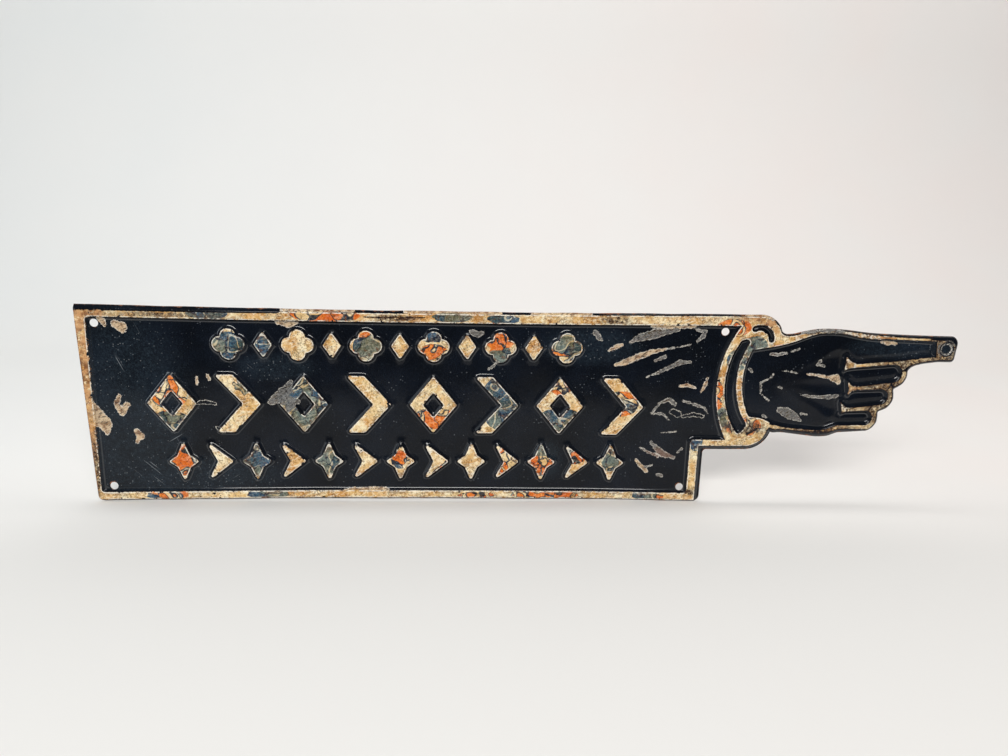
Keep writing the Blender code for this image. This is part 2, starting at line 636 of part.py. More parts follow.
def shears(group):
    """A prism on the trimmed outline, which keeps what lies inside it."""
    curve = bpy.data.curves.new("shears_outline", "CURVE")
    curve.dimensions = "2D"
    curve.fill_mode = "BOTH"
    curve.extrude = CUTTER_REACH / 2.0
    outline = trimmed_outline()
    spline = curve.splines.new("POLY")
    spline.points.add(len(outline) - 1)
    for point, (x, z) in zip(spline.points, outline):
        point.co = (x, z, 0.0, 1.0)
    spline.use_cyclic_u = True
    drawn = bpy.data.objects.new("shears_outline", curve)
    drawn.rotation_euler = (math.pi / 2.0, 0.0, 0.0)
    group.objects.link(drawn)
    bpy.context.view_layer.update()
    mesh = bpy.data.meshes.new_from_object(drawn.evaluated_get(bpy.context.evaluated_depsgraph_get()))
    solid = bmesh.new()
    solid.from_mesh(mesh)
    bmesh.ops.remove_doubles(solid, verts=solid.verts[:], dist=WELD_DISTANCE)
    solid.to_mesh(mesh)
    solid.free()
    prism = bpy.data.objects.new("shears", mesh)
    prism.matrix_world = drawn.matrix_world.copy()
    bpy.data.objects.remove(drawn)
    return mark_as_cutter(prism, group)


def nail_hole_centres():
    """Centres of the four nail holes."""
    z = panel_lines()
    half = PANEL_LENGTH / 2.0
    high, low = z["edge_top"] - NAIL_HOLE_FROM_TOP, z["edge_low"] + NAIL_HOLE_FROM_BOTTOM
    return {"upper_left": (-half + NAIL_HOLE_FROM_UPPER_LEFT, high),
            "lower_left": (-half + NAIL_HOLE_FROM_LOWER_LEFT, low),
            "lower_right": (half - NAIL_HOLE_FROM_RIGHT, low),
            "upper_right": (wrist_centre()[0] - NAIL_HOLE_BEHIND_WRIST, high)}


def nail_punch(place, centre, group):
    """A round punch through the sheet."""
    bpy.ops.mesh.primitive_cylinder_add(vertices=HOLE_SIDES, radius=NAIL_HOLE_DIAMETER / 2.0,
                                        depth=CUTTER_REACH, location=(centre[0], 0.0, centre[1]),
                                        rotation=(math.pi / 2.0, 0.0, 0.0))
    punch = bpy.context.active_object
    punch.name = "nail_punch_" + place
    return mark_as_cutter(punch, group)


def cut(obj, cutter, operation):
    """Adds a Boolean cut to an object."""
    modifier = obj.modifiers.new(cutter.name, "BOOLEAN")
    modifier.operation = operation
    modifier.solver = "EXACT"
    modifier.object = cutter


def black_japan():
    """Old black paint on tinplate."""
    material = bpy.data.materials.new("black_japan")
    material.use_nodes = True
    shader = material.node_tree.nodes["Principled BSDF"]
    shader.inputs["Base Color"].default_value = (0.012, 0.014, 0.018, 1.0)
    shader.inputs["Roughness"].default_value = 0.35
    shader.inputs["Metallic"].default_value = 0.0
    return material


def build():
    """Builds the sign."""
    for obj in list(bpy.data.objects):
        bpy.data.objects.remove(obj)
    sign, cutters = collection("direction_sign"), collection("cutters")
    sheet = press_sheet("sign_sheet", sign)
    cut(sheet, shears(cutters), "INTERSECT")
    for place, centre in nail_hole_centres().items():
        cut(sheet, nail_punch(place, centre, cutters), "DIFFERENCE")
    sheet.data.materials.append(black_japan())
    sheet.data.shade_smooth()
    sheet.data.set_sharp_from_angle(angle=math.radians(SHARP_ANGLE_DEG))


build()
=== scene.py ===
# %% [markdown]
# # A pressed tinplate direction sign
#
# The real piece is one sheet of tinplate. It came out of a printing works with a colour print on
# it, was pressed between two dies into a sign with a pointing hand, trimmed with shears, punched
# for four nails and painted black all over. A century of weather has worn the black off
# everything that stands up, so the old print shows there again.
#
# The CAD model already has every line of the relief. This lesson loads it as the frame, draws the
# same lines again with finer curves, presses a denser sheet on them and then works out the paint.

import json
import math
from types import SimpleNamespace

import bmesh
import bpy
import numpy as np
from mathutils import Matrix
from mathutils.geometry import delaunay_2d_cdt

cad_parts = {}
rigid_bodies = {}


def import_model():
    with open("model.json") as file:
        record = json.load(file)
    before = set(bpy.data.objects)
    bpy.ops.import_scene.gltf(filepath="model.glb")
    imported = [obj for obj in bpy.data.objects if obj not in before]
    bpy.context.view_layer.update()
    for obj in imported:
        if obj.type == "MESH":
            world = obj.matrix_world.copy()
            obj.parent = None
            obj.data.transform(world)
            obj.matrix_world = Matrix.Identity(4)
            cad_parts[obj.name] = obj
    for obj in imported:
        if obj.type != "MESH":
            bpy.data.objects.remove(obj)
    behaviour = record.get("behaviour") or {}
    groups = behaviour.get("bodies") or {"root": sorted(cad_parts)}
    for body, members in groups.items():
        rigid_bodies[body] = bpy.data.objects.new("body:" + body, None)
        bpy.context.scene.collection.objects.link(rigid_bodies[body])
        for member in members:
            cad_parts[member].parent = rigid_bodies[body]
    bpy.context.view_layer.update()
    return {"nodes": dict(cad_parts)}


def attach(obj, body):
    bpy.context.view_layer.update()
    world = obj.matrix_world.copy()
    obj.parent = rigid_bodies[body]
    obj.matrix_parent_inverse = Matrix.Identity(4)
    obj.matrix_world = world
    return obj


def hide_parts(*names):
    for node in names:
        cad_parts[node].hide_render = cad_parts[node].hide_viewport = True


for leftover in list(bpy.data.objects):
    bpy.data.objects.remove(leftover)
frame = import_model()

# %% [markdown]
# ## The lines of the relief
#
# All that follows is worked out in millimetres on the plane of the sheet: x to the right and z
# up, as in the CAD frame, with a height that grows towards the viewer.
#
# A CAD node's mesh is loose triangles, so a copy is merged first and the node is left alone. The
# flat tops of the relief are the triangles that face the viewer at the full height. An edge that
# only one of them has is the rim of a wall, and such edges chain into closed loops. Every loop
# runs with its high ground on the left.

# %% Merged copy of the node
SHEET = 0.4
RELIEF = 2.2
WELD_METRES = 1e-6
FRONT_TILT = -0.2
LEVEL_SLACK = 0.01


def merged_copy(node):
    """Corners in millimetres and triangles of a node's mesh, its loose triangles merged."""
    skin = bmesh.new()
    skin.from_mesh(node.data)
    bmesh.ops.remove_doubles(skin, verts=skin.verts[:], dist=WELD_METRES)
    skin.verts.index_update()
    corners = np.array([vertex.co for vertex in skin.verts]) * 1000
    triangles = np.array([[corner.index for corner in face.verts] for face in skin.faces])
    skin.free()
    return corners, triangles


corners, triangles = merged_copy(frame["nodes"]["sign_sheet"])
one, two, three = (corners[triangles[:, k]] for k in range(3))
facing = np.cross(two - one, three - one)
facing /= np.linalg.norm(facing, axis=1, keepdims=True)
is_front = facing[:, 1] < FRONT_TILT
from_full_height = np.abs(corners[triangles, 1] + SHEET + RELIEF)
is_top = is_front & np.all(from_full_height < LEVEL_SLACK, axis=1)
print(len(corners), "corners,", int(is_front.sum()), "front triangles,", int(is_top.sum()), "on top")

# %% Closed loops round a set of triangles
def lone_edges(triangles):
    """Edges that only one triangle has: from a to b where none has the edge from b to a."""
    edges = np.concatenate([triangles[:, [0, 1]], triangles[:, [1, 2]], triangles[:, [2, 0]]])
    total = edges.max() + 1
    alone = ~np.isin(edges[:, 0] * total + edges[:, 1], edges[:, 1] * total + edges[:, 0])
    return edges[alone]


def loops_round(chosen):
    """Closed loops of lone edges, each of which leads on to the next until the start is reached."""
    ahead = dict(lone_edges(chosen).tolist())
    loops = []
    while ahead:
        first, here = ahead.popitem()
        chain = [first]
        while here != first:
            chain.append(here)
            here = ahead.pop(here)
        loops.append(corners[chain][:, [0, 2]])
    return loops


cad_rims = loops_round(triangles[is_top])
cad_cuts = loops_round(triangles[is_front])
print(len(cad_rims), "rims of relief,", len(cad_cuts), "cut edges, the holes among them")

# %% [markdown]
# ## Rounder curves
#
# The CAD draws an arc with a few straight chords. For a close look they are bent back into arcs:
# a side much longer than its neighbour is a real straight line and stays so, and every other side
# becomes a curve whose ends follow the circle through its neighbours. Sharp corners stay sharp.

# %% Loops with round arcs
STRAIGHT_RATIO = 2.2
CURVE_STEP = 1.2
LINE_STEP = 2.4
SHARP_TURN, SHARP_TURN_IN_ZIGZAG = 80, 40


def cross_2d(a, b):
    """How far b turns to the left of a."""
    return a[:, 0] * b[:, 1] - a[:, 1] * b[:, 0]


def mirrored(direction, chord):
    """A direction reflected about a chord, which is how an arc leaves if it arrives that way."""
    return 2 * np.sum(direction * chord, axis=1, keepdims=True) * chord - direction


def round_arcs(loop):
    """The loop again with its arcs rounded and its sides divided.

    Each side is a cubic from corner a to corner b with end directions u and v and length L:
    p(t) = h1 a + h2 L u + h3 b + h4 L v, where the four h are Hermite's weights.
    """
    side = np.roll(loop, -1, axis=0) - loop
    length = np.linalg.norm(side, axis=1)
    unit = side / length[:, None]
    back, before = np.roll(unit, 1, axis=0), np.roll(length, 1)
    line = length > STRAIGHT_RATIO * np.minimum(before, np.roll(length, -1))
    line_before = np.roll(line, 1)
    turn = np.degrees(np.arctan2(cross_2d(back, unit), np.sum(back * unit, axis=1)))
    zigzag = (turn * np.roll(turn, 1) < 0) & (turn * np.roll(turn, -1) < 0)
    sharp = np.abs(turn) > np.where(zigzag, SHARP_TURN_IN_ZIGZAG, SHARP_TURN)
    sharp |= line & line_before
    round_way = back * length[:, None] + unit * before[:, None]
    round_way /= np.linalg.norm(round_way, axis=1, keepdims=True)
    way = np.where(line[:, None], unit, np.where(line_before[:, None], back, round_way))
    leave, arrive = way, np.roll(way, -1, axis=0)
    sharp_end = np.roll(sharp, -1)
    free_start = np.where(sharp_end[:, None], unit, mirrored(arrive, unit))
    free_end = np.where(sharp[:, None], unit, mirrored(leave, unit))
    leave = np.where(line[:, None], unit, np.where(sharp[:, None], free_start, leave))
    arrive = np.where(line[:, None], unit, np.where(sharp_end[:, None], free_end, arrive))
    steps = np.maximum(np.ceil(length / np.where(line, LINE_STEP, CURVE_STEP)).astype(int), 1)
    which = np.repeat(np.arange(len(loop)), steps)
    first = np.repeat(np.cumsum(steps) - steps, steps)
    t = ((np.arange(len(which)) - first) / steps[which])[:, None]
    a, b, span = loop[which], np.roll(loop, -1, axis=0)[which], length[which, None]
    return ((2 * t ** 3 - 3 * t ** 2 + 1) * a + (t ** 3 - 2 * t ** 2 + t) * span * leave[which]
            + (3 * t ** 2 - 2 * t ** 3) * b + (t ** 3 - t ** 2) * span * arrive[which])


rims = [round_arcs(loop) for loop in cad_rims]
cuts = [round_arcs(loop) for loop in cad_cuts]
cuts.sort(key=len, reverse=True)
print("rims", sum(map(len, rims)), "points, cut edges", [len(loop) for loop in cuts])

# %% [markdown]
# ## Distances
#
# Nearly everything on the sheet depends on how far a point is from a line: the height of a wall,
# the wear at a rim, the rust at a cut edge. So the helpers here are used all through the lesson.
# The sign of a distance comes from the even and odd rule: a point is inside a loop if a ray from
# it crosses the loop an odd number of times.

# %% Distance and inside
FAR = 6.0
PIECES_AT_ONCE = 40
PAIRS_AT_ONCE = 4_000_000


def in_box(points, low, high):
    """Numbers of the points that lie in a box."""
    return np.nonzero(np.all((points > low) & (points < high), axis=1))[0]


def foot_on(points, starts, along):
    """Share of each line piece at which each point's foot lies, and the distance to that foot.

    The foot is start + share times along, with the share held between nought and one.
    """
    gap = points[:, None] - starts
    square = np.maximum(np.sum(along * along, axis=1), 1e-12)
    share = np.clip(np.sum(gap * along, axis=2) / square, 0, 1)
    gap -= share[..., None] * along
    return share, np.sqrt(np.sum(gap * gap, axis=2))


def distance_to(points, starts, ends, reach=FAR):
    """Distance from points to the nearest of the line pieces, and at most reach."""
    nearest = np.full(len(points), reach)
    for group in np.array_split(np.arange(len(starts)), len(starts) // PIECES_AT_ONCE + 1):
        a, b = starts[group], ends[group]
        low, high = np.minimum(a, b).min(axis=0) - reach, np.maximum(a, b).max(axis=0) + reach
        close = in_box(points, low, high)
        if len(close):
            _, away = foot_on(points[close], a, b - a)
            nearest[close] = np.minimum(nearest[close], away.min(axis=1))
    return nearest


def is_inside(points, loop):
    """Which points a closed loop holds, by counting how often a ray to the right crosses it."""
    held = np.zeros(len(points), bool)
    near = in_box(points, loop.min(axis=0), loop.max(axis=0))
    a, b = loop, np.roll(loop, -1, axis=0)
    for part in np.array_split(near, len(near) * len(loop) // PAIRS_AT_ONCE + 1):
        x, z = points[part, :1], points[part, 1:]
        spans = (a[:, 1] > z) != (b[:, 1] > z)
        rise = np.where(b[:, 1] == a[:, 1], 1, b[:, 1] - a[:, 1])
        crossing = a[:, 0] + (z - a[:, 1]) * (b[:, 0] - a[:, 0]) / rise
        held[part] = np.sum(spans & (x < crossing), axis=1) % 2 == 1
    return held


def sides_of(loops):
    """Starts and ends of the sides of closed loops."""
    return np.concatenate(loops), np.concatenate([np.roll(loop, -1, axis=0) for loop in loops])


# %% Real rims
# Where a flat top runs out to the cut edge there is no wall, so that stretch is no rim.
NAIL_CENTRE = np.array([448.2, 21.35])
NAIL_RADIUS = 5.2
NAIL_DEPTH = 1.1
NAIL_SEARCH = 3
ON_THE_CUT = 0.15

is_nail = [np.linalg.norm(loop.mean(axis=0) - NAIL_CENTRE) < NAIL_SEARCH for loop in rims]
rims = [loop for loop, nail in zip(rims, is_nail) if not nail]
cut_starts, cut_ends = sides_of(cuts)
rim_starts, rim_ends = sides_of(rims)
middles = (rim_starts + rim_ends) / 2
wall = distance_to(middles, cut_starts, cut_ends) > ON_THE_CUT
rim_starts, rim_ends = rim_starts[wall], rim_ends[wall]
print(int(wall.sum()), "sides have a wall,", int((~wall).sum()), "lie on the cut edge")


def crest_distance(points):
    """Distance to the nearest rim in millimetres, above nought on high ground and below it off it."""
    high = np.zeros(len(points), bool)
    for loop in rims:
        high ^= is_inside(points, loop)
    nearest = distance_to(points, rim_starts, rim_ends)
    return np.where(high, nearest, -nearest)


# %% [markdown]
# ## The height of the relief
#
# A die never makes a sharp bend: the metal rolls over the top edge and into the foot. So the wall
# is a ramp at 45 degrees whose two ends are rounded with parabolas. The hand's surface swells
# over the back, runs in tendons to the knuckles and is crowned along the fingers, as in the CAD.

# %% Height of a wall
WALL_RUN = RELIEF
ROUNDING = 0.27


def knee(u):
    """Nought below the bend and u above it, with a parabola between -ROUNDING and +ROUNDING."""
    bend = (u + ROUNDING) ** 2 / (4 * ROUNDING)
    return np.where(u < -ROUNDING, 0, np.where(u > ROUNDING, u, bend))


def ramp(u):
    """Rounded step from nought at u = 0 to one at u = 1."""
    return knee(u) - knee(u - 1)


def ease(t):
    """Smooth step: 3 t squared less 2 t cubed."""
    t = np.clip(t, 0, 1)
    return t * t * (3 - 2 * t)


# %% The swell of the hand
WRIST = np.array([312.0, -9.75])
CUFF_END_X, KNUCKLE_LINE_X = 283.5, 356.0
BACK_RISE, CROWN_RISE = 1.0, 0.6
TENDON_RISE, TENDON_WIDTH = 0.6, 8.0
KNUCKLE_RISE, KNUCKLE_WIDTH = 0.7, 11.0
KNUCKLES = WRIST + [(42.0, 31.0), (44.0, 8.0), (44.0, -11.5), (42.0, -28.0)]
TENDON_START = WRIST + (-8.0, 2.0)
FLOOR_BLEND = 4.5
ON_THE_BACK = WRIST[None] + (38.0, 0.0)

around = [loop for loop in rims if is_inside(ON_THE_BACK, loop)[0]]
hand_rim = min(around, key=lambda loop: np.ptp(loop[:, 0]))
print("hand rim from x", hand_rim.min(axis=0).round(1), "to", hand_rim.max(axis=0).round(1))


def hand_rise(points, crest):
    """Height of the hand's rounded surface above its floor.

    The back rises from the cuff to the knuckle line and falls behind it. Each tendon is a ridge
    and each knuckle a bump with the bell shape exp(-(distance / half width) squared). All of it
    fades out towards the wall with a smooth step.
    """
    x = points[:, 0]
    past = ease((x - KNUCKLE_LINE_X) / KNUCKLE_WIDTH)
    rise = BACK_RISE * ease((x - CUFF_END_X) / (KNUCKLE_LINE_X - CUFF_END_X)) * (1 - past)
    rise += CROWN_RISE * past
    for knuckle in KNUCKLES:
        share, aside = foot_on(points, TENDON_START[None], (knuckle - TENDON_START)[None])
        rise += TENDON_RISE * share[:, 0] * np.exp(-(aside[:, 0] / (TENDON_WIDTH / 2)) ** 2)
        away = np.linalg.norm(points - knuckle, axis=1)
        rise += KNUCKLE_RISE * np.exp(-(away / (KNUCKLE_WIDTH / 2)) ** 2)
    return np.where(is_inside(points, hand_rim), rise * ease((-crest - WALL_RUN) / FLOOR_BLEND), 0)


def beyond_nail(points):
    """Distance from the round fingernail, below nought inside it."""
    return np.linalg.norm(points - NAIL_CENTRE, axis=1) - NAIL_RADIUS


def height_at(points, crest):
    """Height of the front above the flat sheet, from the distance to the rims."""
    height = RELIEF * ramp((crest + WALL_RUN) / WALL_RUN)
    nail = RELIEF - NAIL_DEPTH * (1 - ramp((beyond_nail(points) + NAIL_DEPTH) / NAIL_DEPTH))
    return np.minimum(height, nail) + hand_rise(points, crest)


# %% [markdown]
# ## Flakes and scuffs
#
# Here and there the paint has come off the sunk ground too: a big grey flake left of the middle,
# crusts along the left border, scuffs that slant up to the right beside the cuff, and rubbed
# tendons on the hand. Each one is a stroke: a chain of round spots, each with a place and a half
# width in millimetres, and straight sides between one spot and the next. The shader makes their
# edges ragged. Under some of them the old print shows, under others bare grey metal, and some are
# only a pale outline, where a blister of paint has cracked all round and stayed. A second list
# has the places where paint was kept on high ground.

# %% Strokes of wear
PRINT, METAL, OUTLINE = 0.0, 1.0, 2.0
ARC_STEP = 15


def arc(centre, radius, start, end, half_width):
    """Spots along part of a circle, between two turns in degrees."""
    turns = np.radians(np.arange(start, end + 1, ARC_STEP))
    x, z = centre[0] + radius * np.cos(turns), centre[1] + radius * np.sin(turns)
    return np.stack([x, z, np.full(len(turns), half_width)], axis=1)


STROKES = [
    (PRINT, (-221, 33, 3), (-216, 30.5, 4), (-215, 27.5, 2)),
    (PRINT, (-230, 35, 1.6), (-228.5, 31.5, 1.2)),
    (PRINT, (-245, -31, 3.5), (-240, -43, 6.5), (-235, -48, 5.5), (-234, -55, 2.5)),
    (PRINT, (-222, -25, 1.8), (-225, -32, 2), (-221, -38, 3.2), (-216.5, -32, 2.4)),
    (PRINT, (-211, -54, 2.4), (-208.5, -58, 3.2), (-211, -62.5, 1.6)),
    (OUTLINE, (-164, -30.5, 1.3), (-156, -29.5, 1.8), (-148.5, -31, 1.4)),
    (OUTLINE, (-149, -50.5, 1), (-144.5, -53, 2.2), (-141.5, -54, 1.4)),
    (PRINT, (-161.5, -9, 0.8), (-161.5, -14, 1.3)),
    (PRINT, (-153, -7.5, 1.4), (-151.5, -11, 0.9)),
    (METAL, (-88.5, -12, 1.6), (-91, -18, 4.2), (-96.5, -24, 5.4), (-104.5, -29, 2.8)),
    (METAL, (-95, -25, 4.5), (-89, -30.5, 4.2), (-91.5, -37, 1)),
    (METAL, (-90, -27, 4), (-83.5, -28.5, 2)),
    (PRINT, (-80, -13, 0.8), (-75.5, -11.5, 1.1)),
    (METAL, (55, 31, 2.2), (60, 29, 2.6), (63.5, 30.5, 1.4)),
    (METAL, (69, 0, 0.8), (73, 3, 1.1), (76, 7, 1)),
    (METAL, (118.5, -37, 1.1), (119, -41, 1.6)),
    (METAL, (154, 32, 1.8), (157, 28.5, 2.2), (159.5, 25.5, 0.9)),
    (METAL, (183, 24, 0.9), (190.5, 28, 2.8), (203, 31, 3.8), (213, 33, 2.4), (222, 35, 1.6)),
    (METAL, (238, 25, 0.8), (243, 29.5, 1.7), (244.5, 33, 1.4), (237, 34.5, 0.9)),
    (PRINT, (166, 17, 0.9), (171, 19.5, 1.8), (176, 22, 1.4)),
    (PRINT, (172, 5, 1.4), (180, 7.5, 2.3), (190.5, 12, 2.6), (200.5, 16, 2), (213, 18.5, 0.7)),
    (METAL, (213, 18.5, 0.6), (232, 22, 0.4)),
    (METAL, (204, 8.5, 0.9), (212, 12, 1.6)),
    (METAL, (198.5, -5, 0.5), (207, -1.5, 1.1), (217, 3.5, 1.7), (225, 7.5, 2.1), (234, 8, 0.9)),
    (PRINT, (227, -12.5, 1.1), (233, -11.5, 1.4), (240, -14, 0.9)),
    (PRINT, (245, -17, 0.9), (248, -10.5, 1.5), (249, -5.5, 0.7)),
    (METAL, (204.5, -36, 0.7), (211, -27, 0.9), (219, -24, 1.7), (223.5, -28, 1.5)),
    (METAL, (230, -25, 0.8), (240, -28, 1.1), (249, -31, 0.9), (252, -35.5, 0.6)),
    (OUTLINE, (222.5, -34.5, 2.6), (227, -36.5, 2.8)),
    (METAL, (207, -36.5, 0.6), (213, -36, 0.9), (219, -41, 0.8)),
    (OUTLINE, (231, -38.5, 1.3), (240, -36.5, 1.9), (248, -38, 1.2)),
    (METAL, (206, -61, 1.1), (210, -66, 1.9), (216, -71, 2.8), (226, -74.5, 1.1)),
    (METAL, (197, -66, 0.7), (204, -70, 1.1), (212, -73, 1.2)),
    (METAL, (228.5, -70, 0.7), (232, -66.5, 0.9)),
    (PRINT, (194, -77, 1), (199, -83, 1.6), (203, -86.5, 1.8)),
    (METAL, (201, -84, 0.9), (208, -81.5, 0.7)),
    (METAL, (212.5, -90, 1.1), (217, -90.5, 1.3)),
    (METAL, (214, -53, 0.5), (226, -51.5, 0.5)),
    (METAL, (300, 15.5, 0.9), (306, 15, 1.3), (313, 16.5, 0.9)),
    (METAL, (316.5, 17.5, 0.7), (323, 20, 0.9)),
    (PRINT, (332, -1, 0.6), (342, -2, 0.9), (350, -3.5, 1.4), (357, -4, 3.4), (360, -7.5, 1.8)),
    (METAL, (329, -18.5, 0.6), (337, -20, 1.1), (345, -20.5, 1.1), (352, -20, 1.8), (360, -19, 1.4)),
    (METAL, (312, -32, 2.2), (318, -34, 4), (325, -37, 3.6), (331, -41, 1)),
    (METAL, (302, -5, 0.5), (294, -9, 0.6), (295, -18, 0.6), (302, -24, 0.6)),
    (METAL, (303, -4, 0.9), (304, -1.5, 0.6)),
    (METAL, (309.5, -12, 0.7), (312.5, -13, 0.9)),
    (METAL, (284, 2.5, 1.1), (286, 0.5, 0.9)),
    (METAL, (342, 10.5, 1.2), (340, 7, 0.8), (346, 6, 0.7)),
    (METAL, (311, 1.5, 0.4), (320, 0.5, 0.6), (324, -0.5, 0.5)),
    (PRINT, (393, 26.5, 1.1), (399, 26, 1.8), (406, 25.5, 1)),
    (METAL, (299, -37, 1.1), (302, -38.5, 0.8)),
    (METAL, (331, -35, 1), (336, -35.5, 0.6)),
    (PRINT, (-94, 46.8, 0.9), (-70, 46.9, 1.5), (-38, 47, 1.1)),
    (PRINT, (2, 47.4, 1.2), (10, 46.6, 2.2), (24, 47, 2), (77, 47, 1.9)),
    (PRINT, (103, 47, 1.5), (126, 46.8, 2), (149, 47, 1.5)),
    (PRINT, (277, 47, 1.6), (290, 47, 2), (300, 44.5, 1.2)),
    (PRINT, (-232, 37, 2.2), (-229.5, 34.5, 2.4)),
    (PRINT, (-97, 36.5, 1.4), (-88, 34.8, 2.6), (-82, 36.6, 1.2)),
    (PRINT, (200, 37.6, 1.3), (222, 36.8, 1.6), (236, 37, 1)),
    (PRINT, (-48, -105.8, 1.6), (-40, -105, 1.8), (-24, -104.6, 2), (-13, -104.8, 1.8)),
    (METAL, (324, 33.4, 0.9), (334, 35, 1.9), (336.5, 35.2, 0.6)),
    (METAL, (338.5, 35.4, 0.8), (346, 35.6, 2), (358, 35, 1.2)),
    (METAL, *arc(NAIL_CENTRE, 4.6, -30, 300, 0.5)),
    (METAL, *arc(NAIL_CENTRE, 7.4, -75, 110, 0.4)),
    (METAL, *arc(NAIL_CENTRE, 7.2, 140, 235, 0.6)),
]
KEPT = [
    (PRINT, (-252, 45.4, 2.1), (-170, 45.2, 1.8), (-96, 45.2, 1.1)),
    (PRINT, (372, 10.2, 1.3), (392, 11, 1.4), (425, 13.8, 1.1)),
    (PRINT, (413, 2.6, 0.8), (418, 5.4, 1.7), (424, 8, 1.1), (431, 9.6, 0.5)),
    (PRINT, (404.5, -8.5, 0.8), (407.5, -12, 1.1), (410.5, -14, 0.6)),
    (PRINT, (376, -11, 0.7), (397, -7, 0.6)),
    (PRINT, (434, 29.6, 0.7), (447, 30.2, 1.9), (455.5, 27.5, 2.1), (457.5, 21, 0.9)),
    (PRINT, (302, -49, 0.6), (330, -50.3, 0.8), (352, -50.6, 0.7), (368, -48.6, 0.8)),
    (PRINT, (408, -1, 0.7), (404, -10, 0.6), (398, -20, 0.6), (390, -28, 0.7), (385, -38, 0.6)),
    (PRINT, (-30, 42.4, 0.5), (-12, 42.2, 0.6), (18, 42.6, 0.4)),
    (PRINT, (286, -52.5, 1.1), (294, -48, 0.8)),
]


def stroke_depth(points, strokes):
    """How far each point lies inside the nearest stroke, and what that stroke uncovers.

    Between two spots the half width changes evenly, so a point's depth is that width at its foot
    on the line between them, less its distance from the foot. It is at least -FAR.
    """
    deepest = np.full(len(points), -FAR)
    uncovers = np.zeros(len(points))
    for kind, *spots in strokes:
        spots = np.array(spots, float)
        reach = FAR + spots[:, 2].max()
        near = in_box(points, spots[:, :2].min(axis=0) - reach, spots[:, :2].max(axis=0) + reach)
        if not len(near):
            continue
        start, along = spots[:-1], np.diff(spots, axis=0)
        share, away = foot_on(points[near], start[:, :2], along[:, :2])
        depth = (start[:, 2] + share * along[:, 2] - away).max(axis=1)
        better = depth > deepest[near]
        deepest[near[better]] = depth[better]
        uncovers[near[better]] = kind
    return deepest, uncovers


print(len(STROKES), "strokes of wear and", len(KEPT), "of kept paint")

# %% [markdown]
# ## Patches of age
#
# Age isn't even. The left end hung in the weather: its border is browned and its black is dusty.
# On the fingertip and under the hand paint still clings to the high ground. Along the fingers it
# held on tightly and is rubbed through only in the middle of the high ground. The old print is
# orange in some places, blue or mixed in others and plain in the rest, in a layout of this
# lesson's own. Each kind is a list of soft patches, with a centre and two half widths in
# millimetres.

# %% Patches
HELD_BACK = 0.8
PATCH_END, PATCH_FADE = 1.35, 0.7
BROWNED = [(-246, 5, 9, 52), (-243, 42, 18, 5), (-247, -60, 7, 20), (300, 40, 9, 7), (285, 44, 14, 3),
           (-212, -55, 8, 12), (-222, -32, 10, 12), (182, 12, 22, 12), (240, -14, 16, 6),
           (212, -72, 14, 6), (372, -14, 8, 5), (376, 30, 26, 4)]
DIRTY = [(445, 20, 15, 16), (343, 35, 19, 5), (345, -50, 46, 7), (398, -16, 20, 30), (-5, 42, 18, 3),
         (170, 42, 12, 4), (282, -47, 18, 6), (-182, 41, 50, 2), (241, -104, 8, 4), (360, 6, 9, 9),
         (360, -14, 10, 7), (362, -31, 16, 6), (424, 7, 26, 6), (-246, -85, 6, 26)]
# Patches of dust on the black. The patch on the index finger is a painted sheen: its pale veil stands for
# light off the tilted finger.
DUST_AND_SHEEN = [(-218, -35, 46, 75), (-170, -92, 70, 16), (404, 22, 36, 8), (448.2, 21.4, 7, 7),
         (-100, 0, 30, 10), (118, -78, 12, 16), (150, 20, 40, 14)]
ORANGE = [(25, 13, 11, 8), (78, 25, 11, 8), (-183, -20, 15, 14), (26, -42, 20, 9), (84, -78, 9, 12),
          (114, -82, 11, 9), (142, -72, 10, 9), (-60, 43, 26, 5), (118, -108, 32, 4), (60, -109, 16, 3),
          (257, -20, 6, 13), (282, -46, 15, 8), (266, 37, 14, 7), (308, 18, 10, 6), (128, -14, 9, 7)]
BLUE = [(-135, 16, 14, 13), (-109, 18, 8, 10), (-79, -28, 20, 24), (-79, -46, 20, 12), (79, -28, 16, 24),
        (-118, -78, 12, 13), (-61, -78, 12, 13), (-150, 43, 16, 5), (-110, -108, 18, 4), (243, -58, 6, 10),
        (272, 10, 9, 9), (286, 22, 10, 8), (172, -77, 8, 10), (25, 28, 11, 6), (78, 12, 9, 7),
        (128, -42, 17, 10), (-183, -46, 16, 9), (40, 43, 16, 4), (114, -68, 9, 6), (262, -38, 6, 9)]
MIXED = [(131, 20, 12, 12), (-27, 18, 12, 12), (27, -78, 12, 12), (-176, -78, 12, 12), (80, 42, 14, 4),
         (-190, -108, 18, 4), (205, -108, 14, 4), (178, -28, 14, 10), (-132, -16, 12, 8), (-2, -78, 8, 8)]
TIGHT = [(452, 20, 18, 18), (424, 27, 36, 8), (424, 8, 36, 8), (398, -14, 32, 34), (340, -50, 50, 8)]


def patchiness(points, patches):
    """Share of age: one near the middle of a patch, and a smooth fade to nought outside it."""
    most = np.zeros(len(points))
    for x, z, half_x, half_z in patches:
        away = np.hypot((points[:, 0] - x) / half_x, (points[:, 1] - z) / half_z)
        most = np.maximum(most, ease((PATCH_END - away) / PATCH_FADE))
    return most


print(sum(map(len, (BROWNED, DIRTY, DUST_AND_SHEEN, ORANGE, BLUE, MIXED, TIGHT))), "patches")

# %% [markdown]
# ## One sheet out of points and lines
#
# A plain grid can't follow a slanting wall or a round hole without steps. So the grid is laid
# over the flats only, finer on the hand and finest at the strokes and fingers, and each rim
# brings its own rows of points: the rim moved sideways to each bend of the ramp. A Delaunay
# triangulation joins them all and keeps the lines as edges. Height and wear are then worked out
# at every point at once.

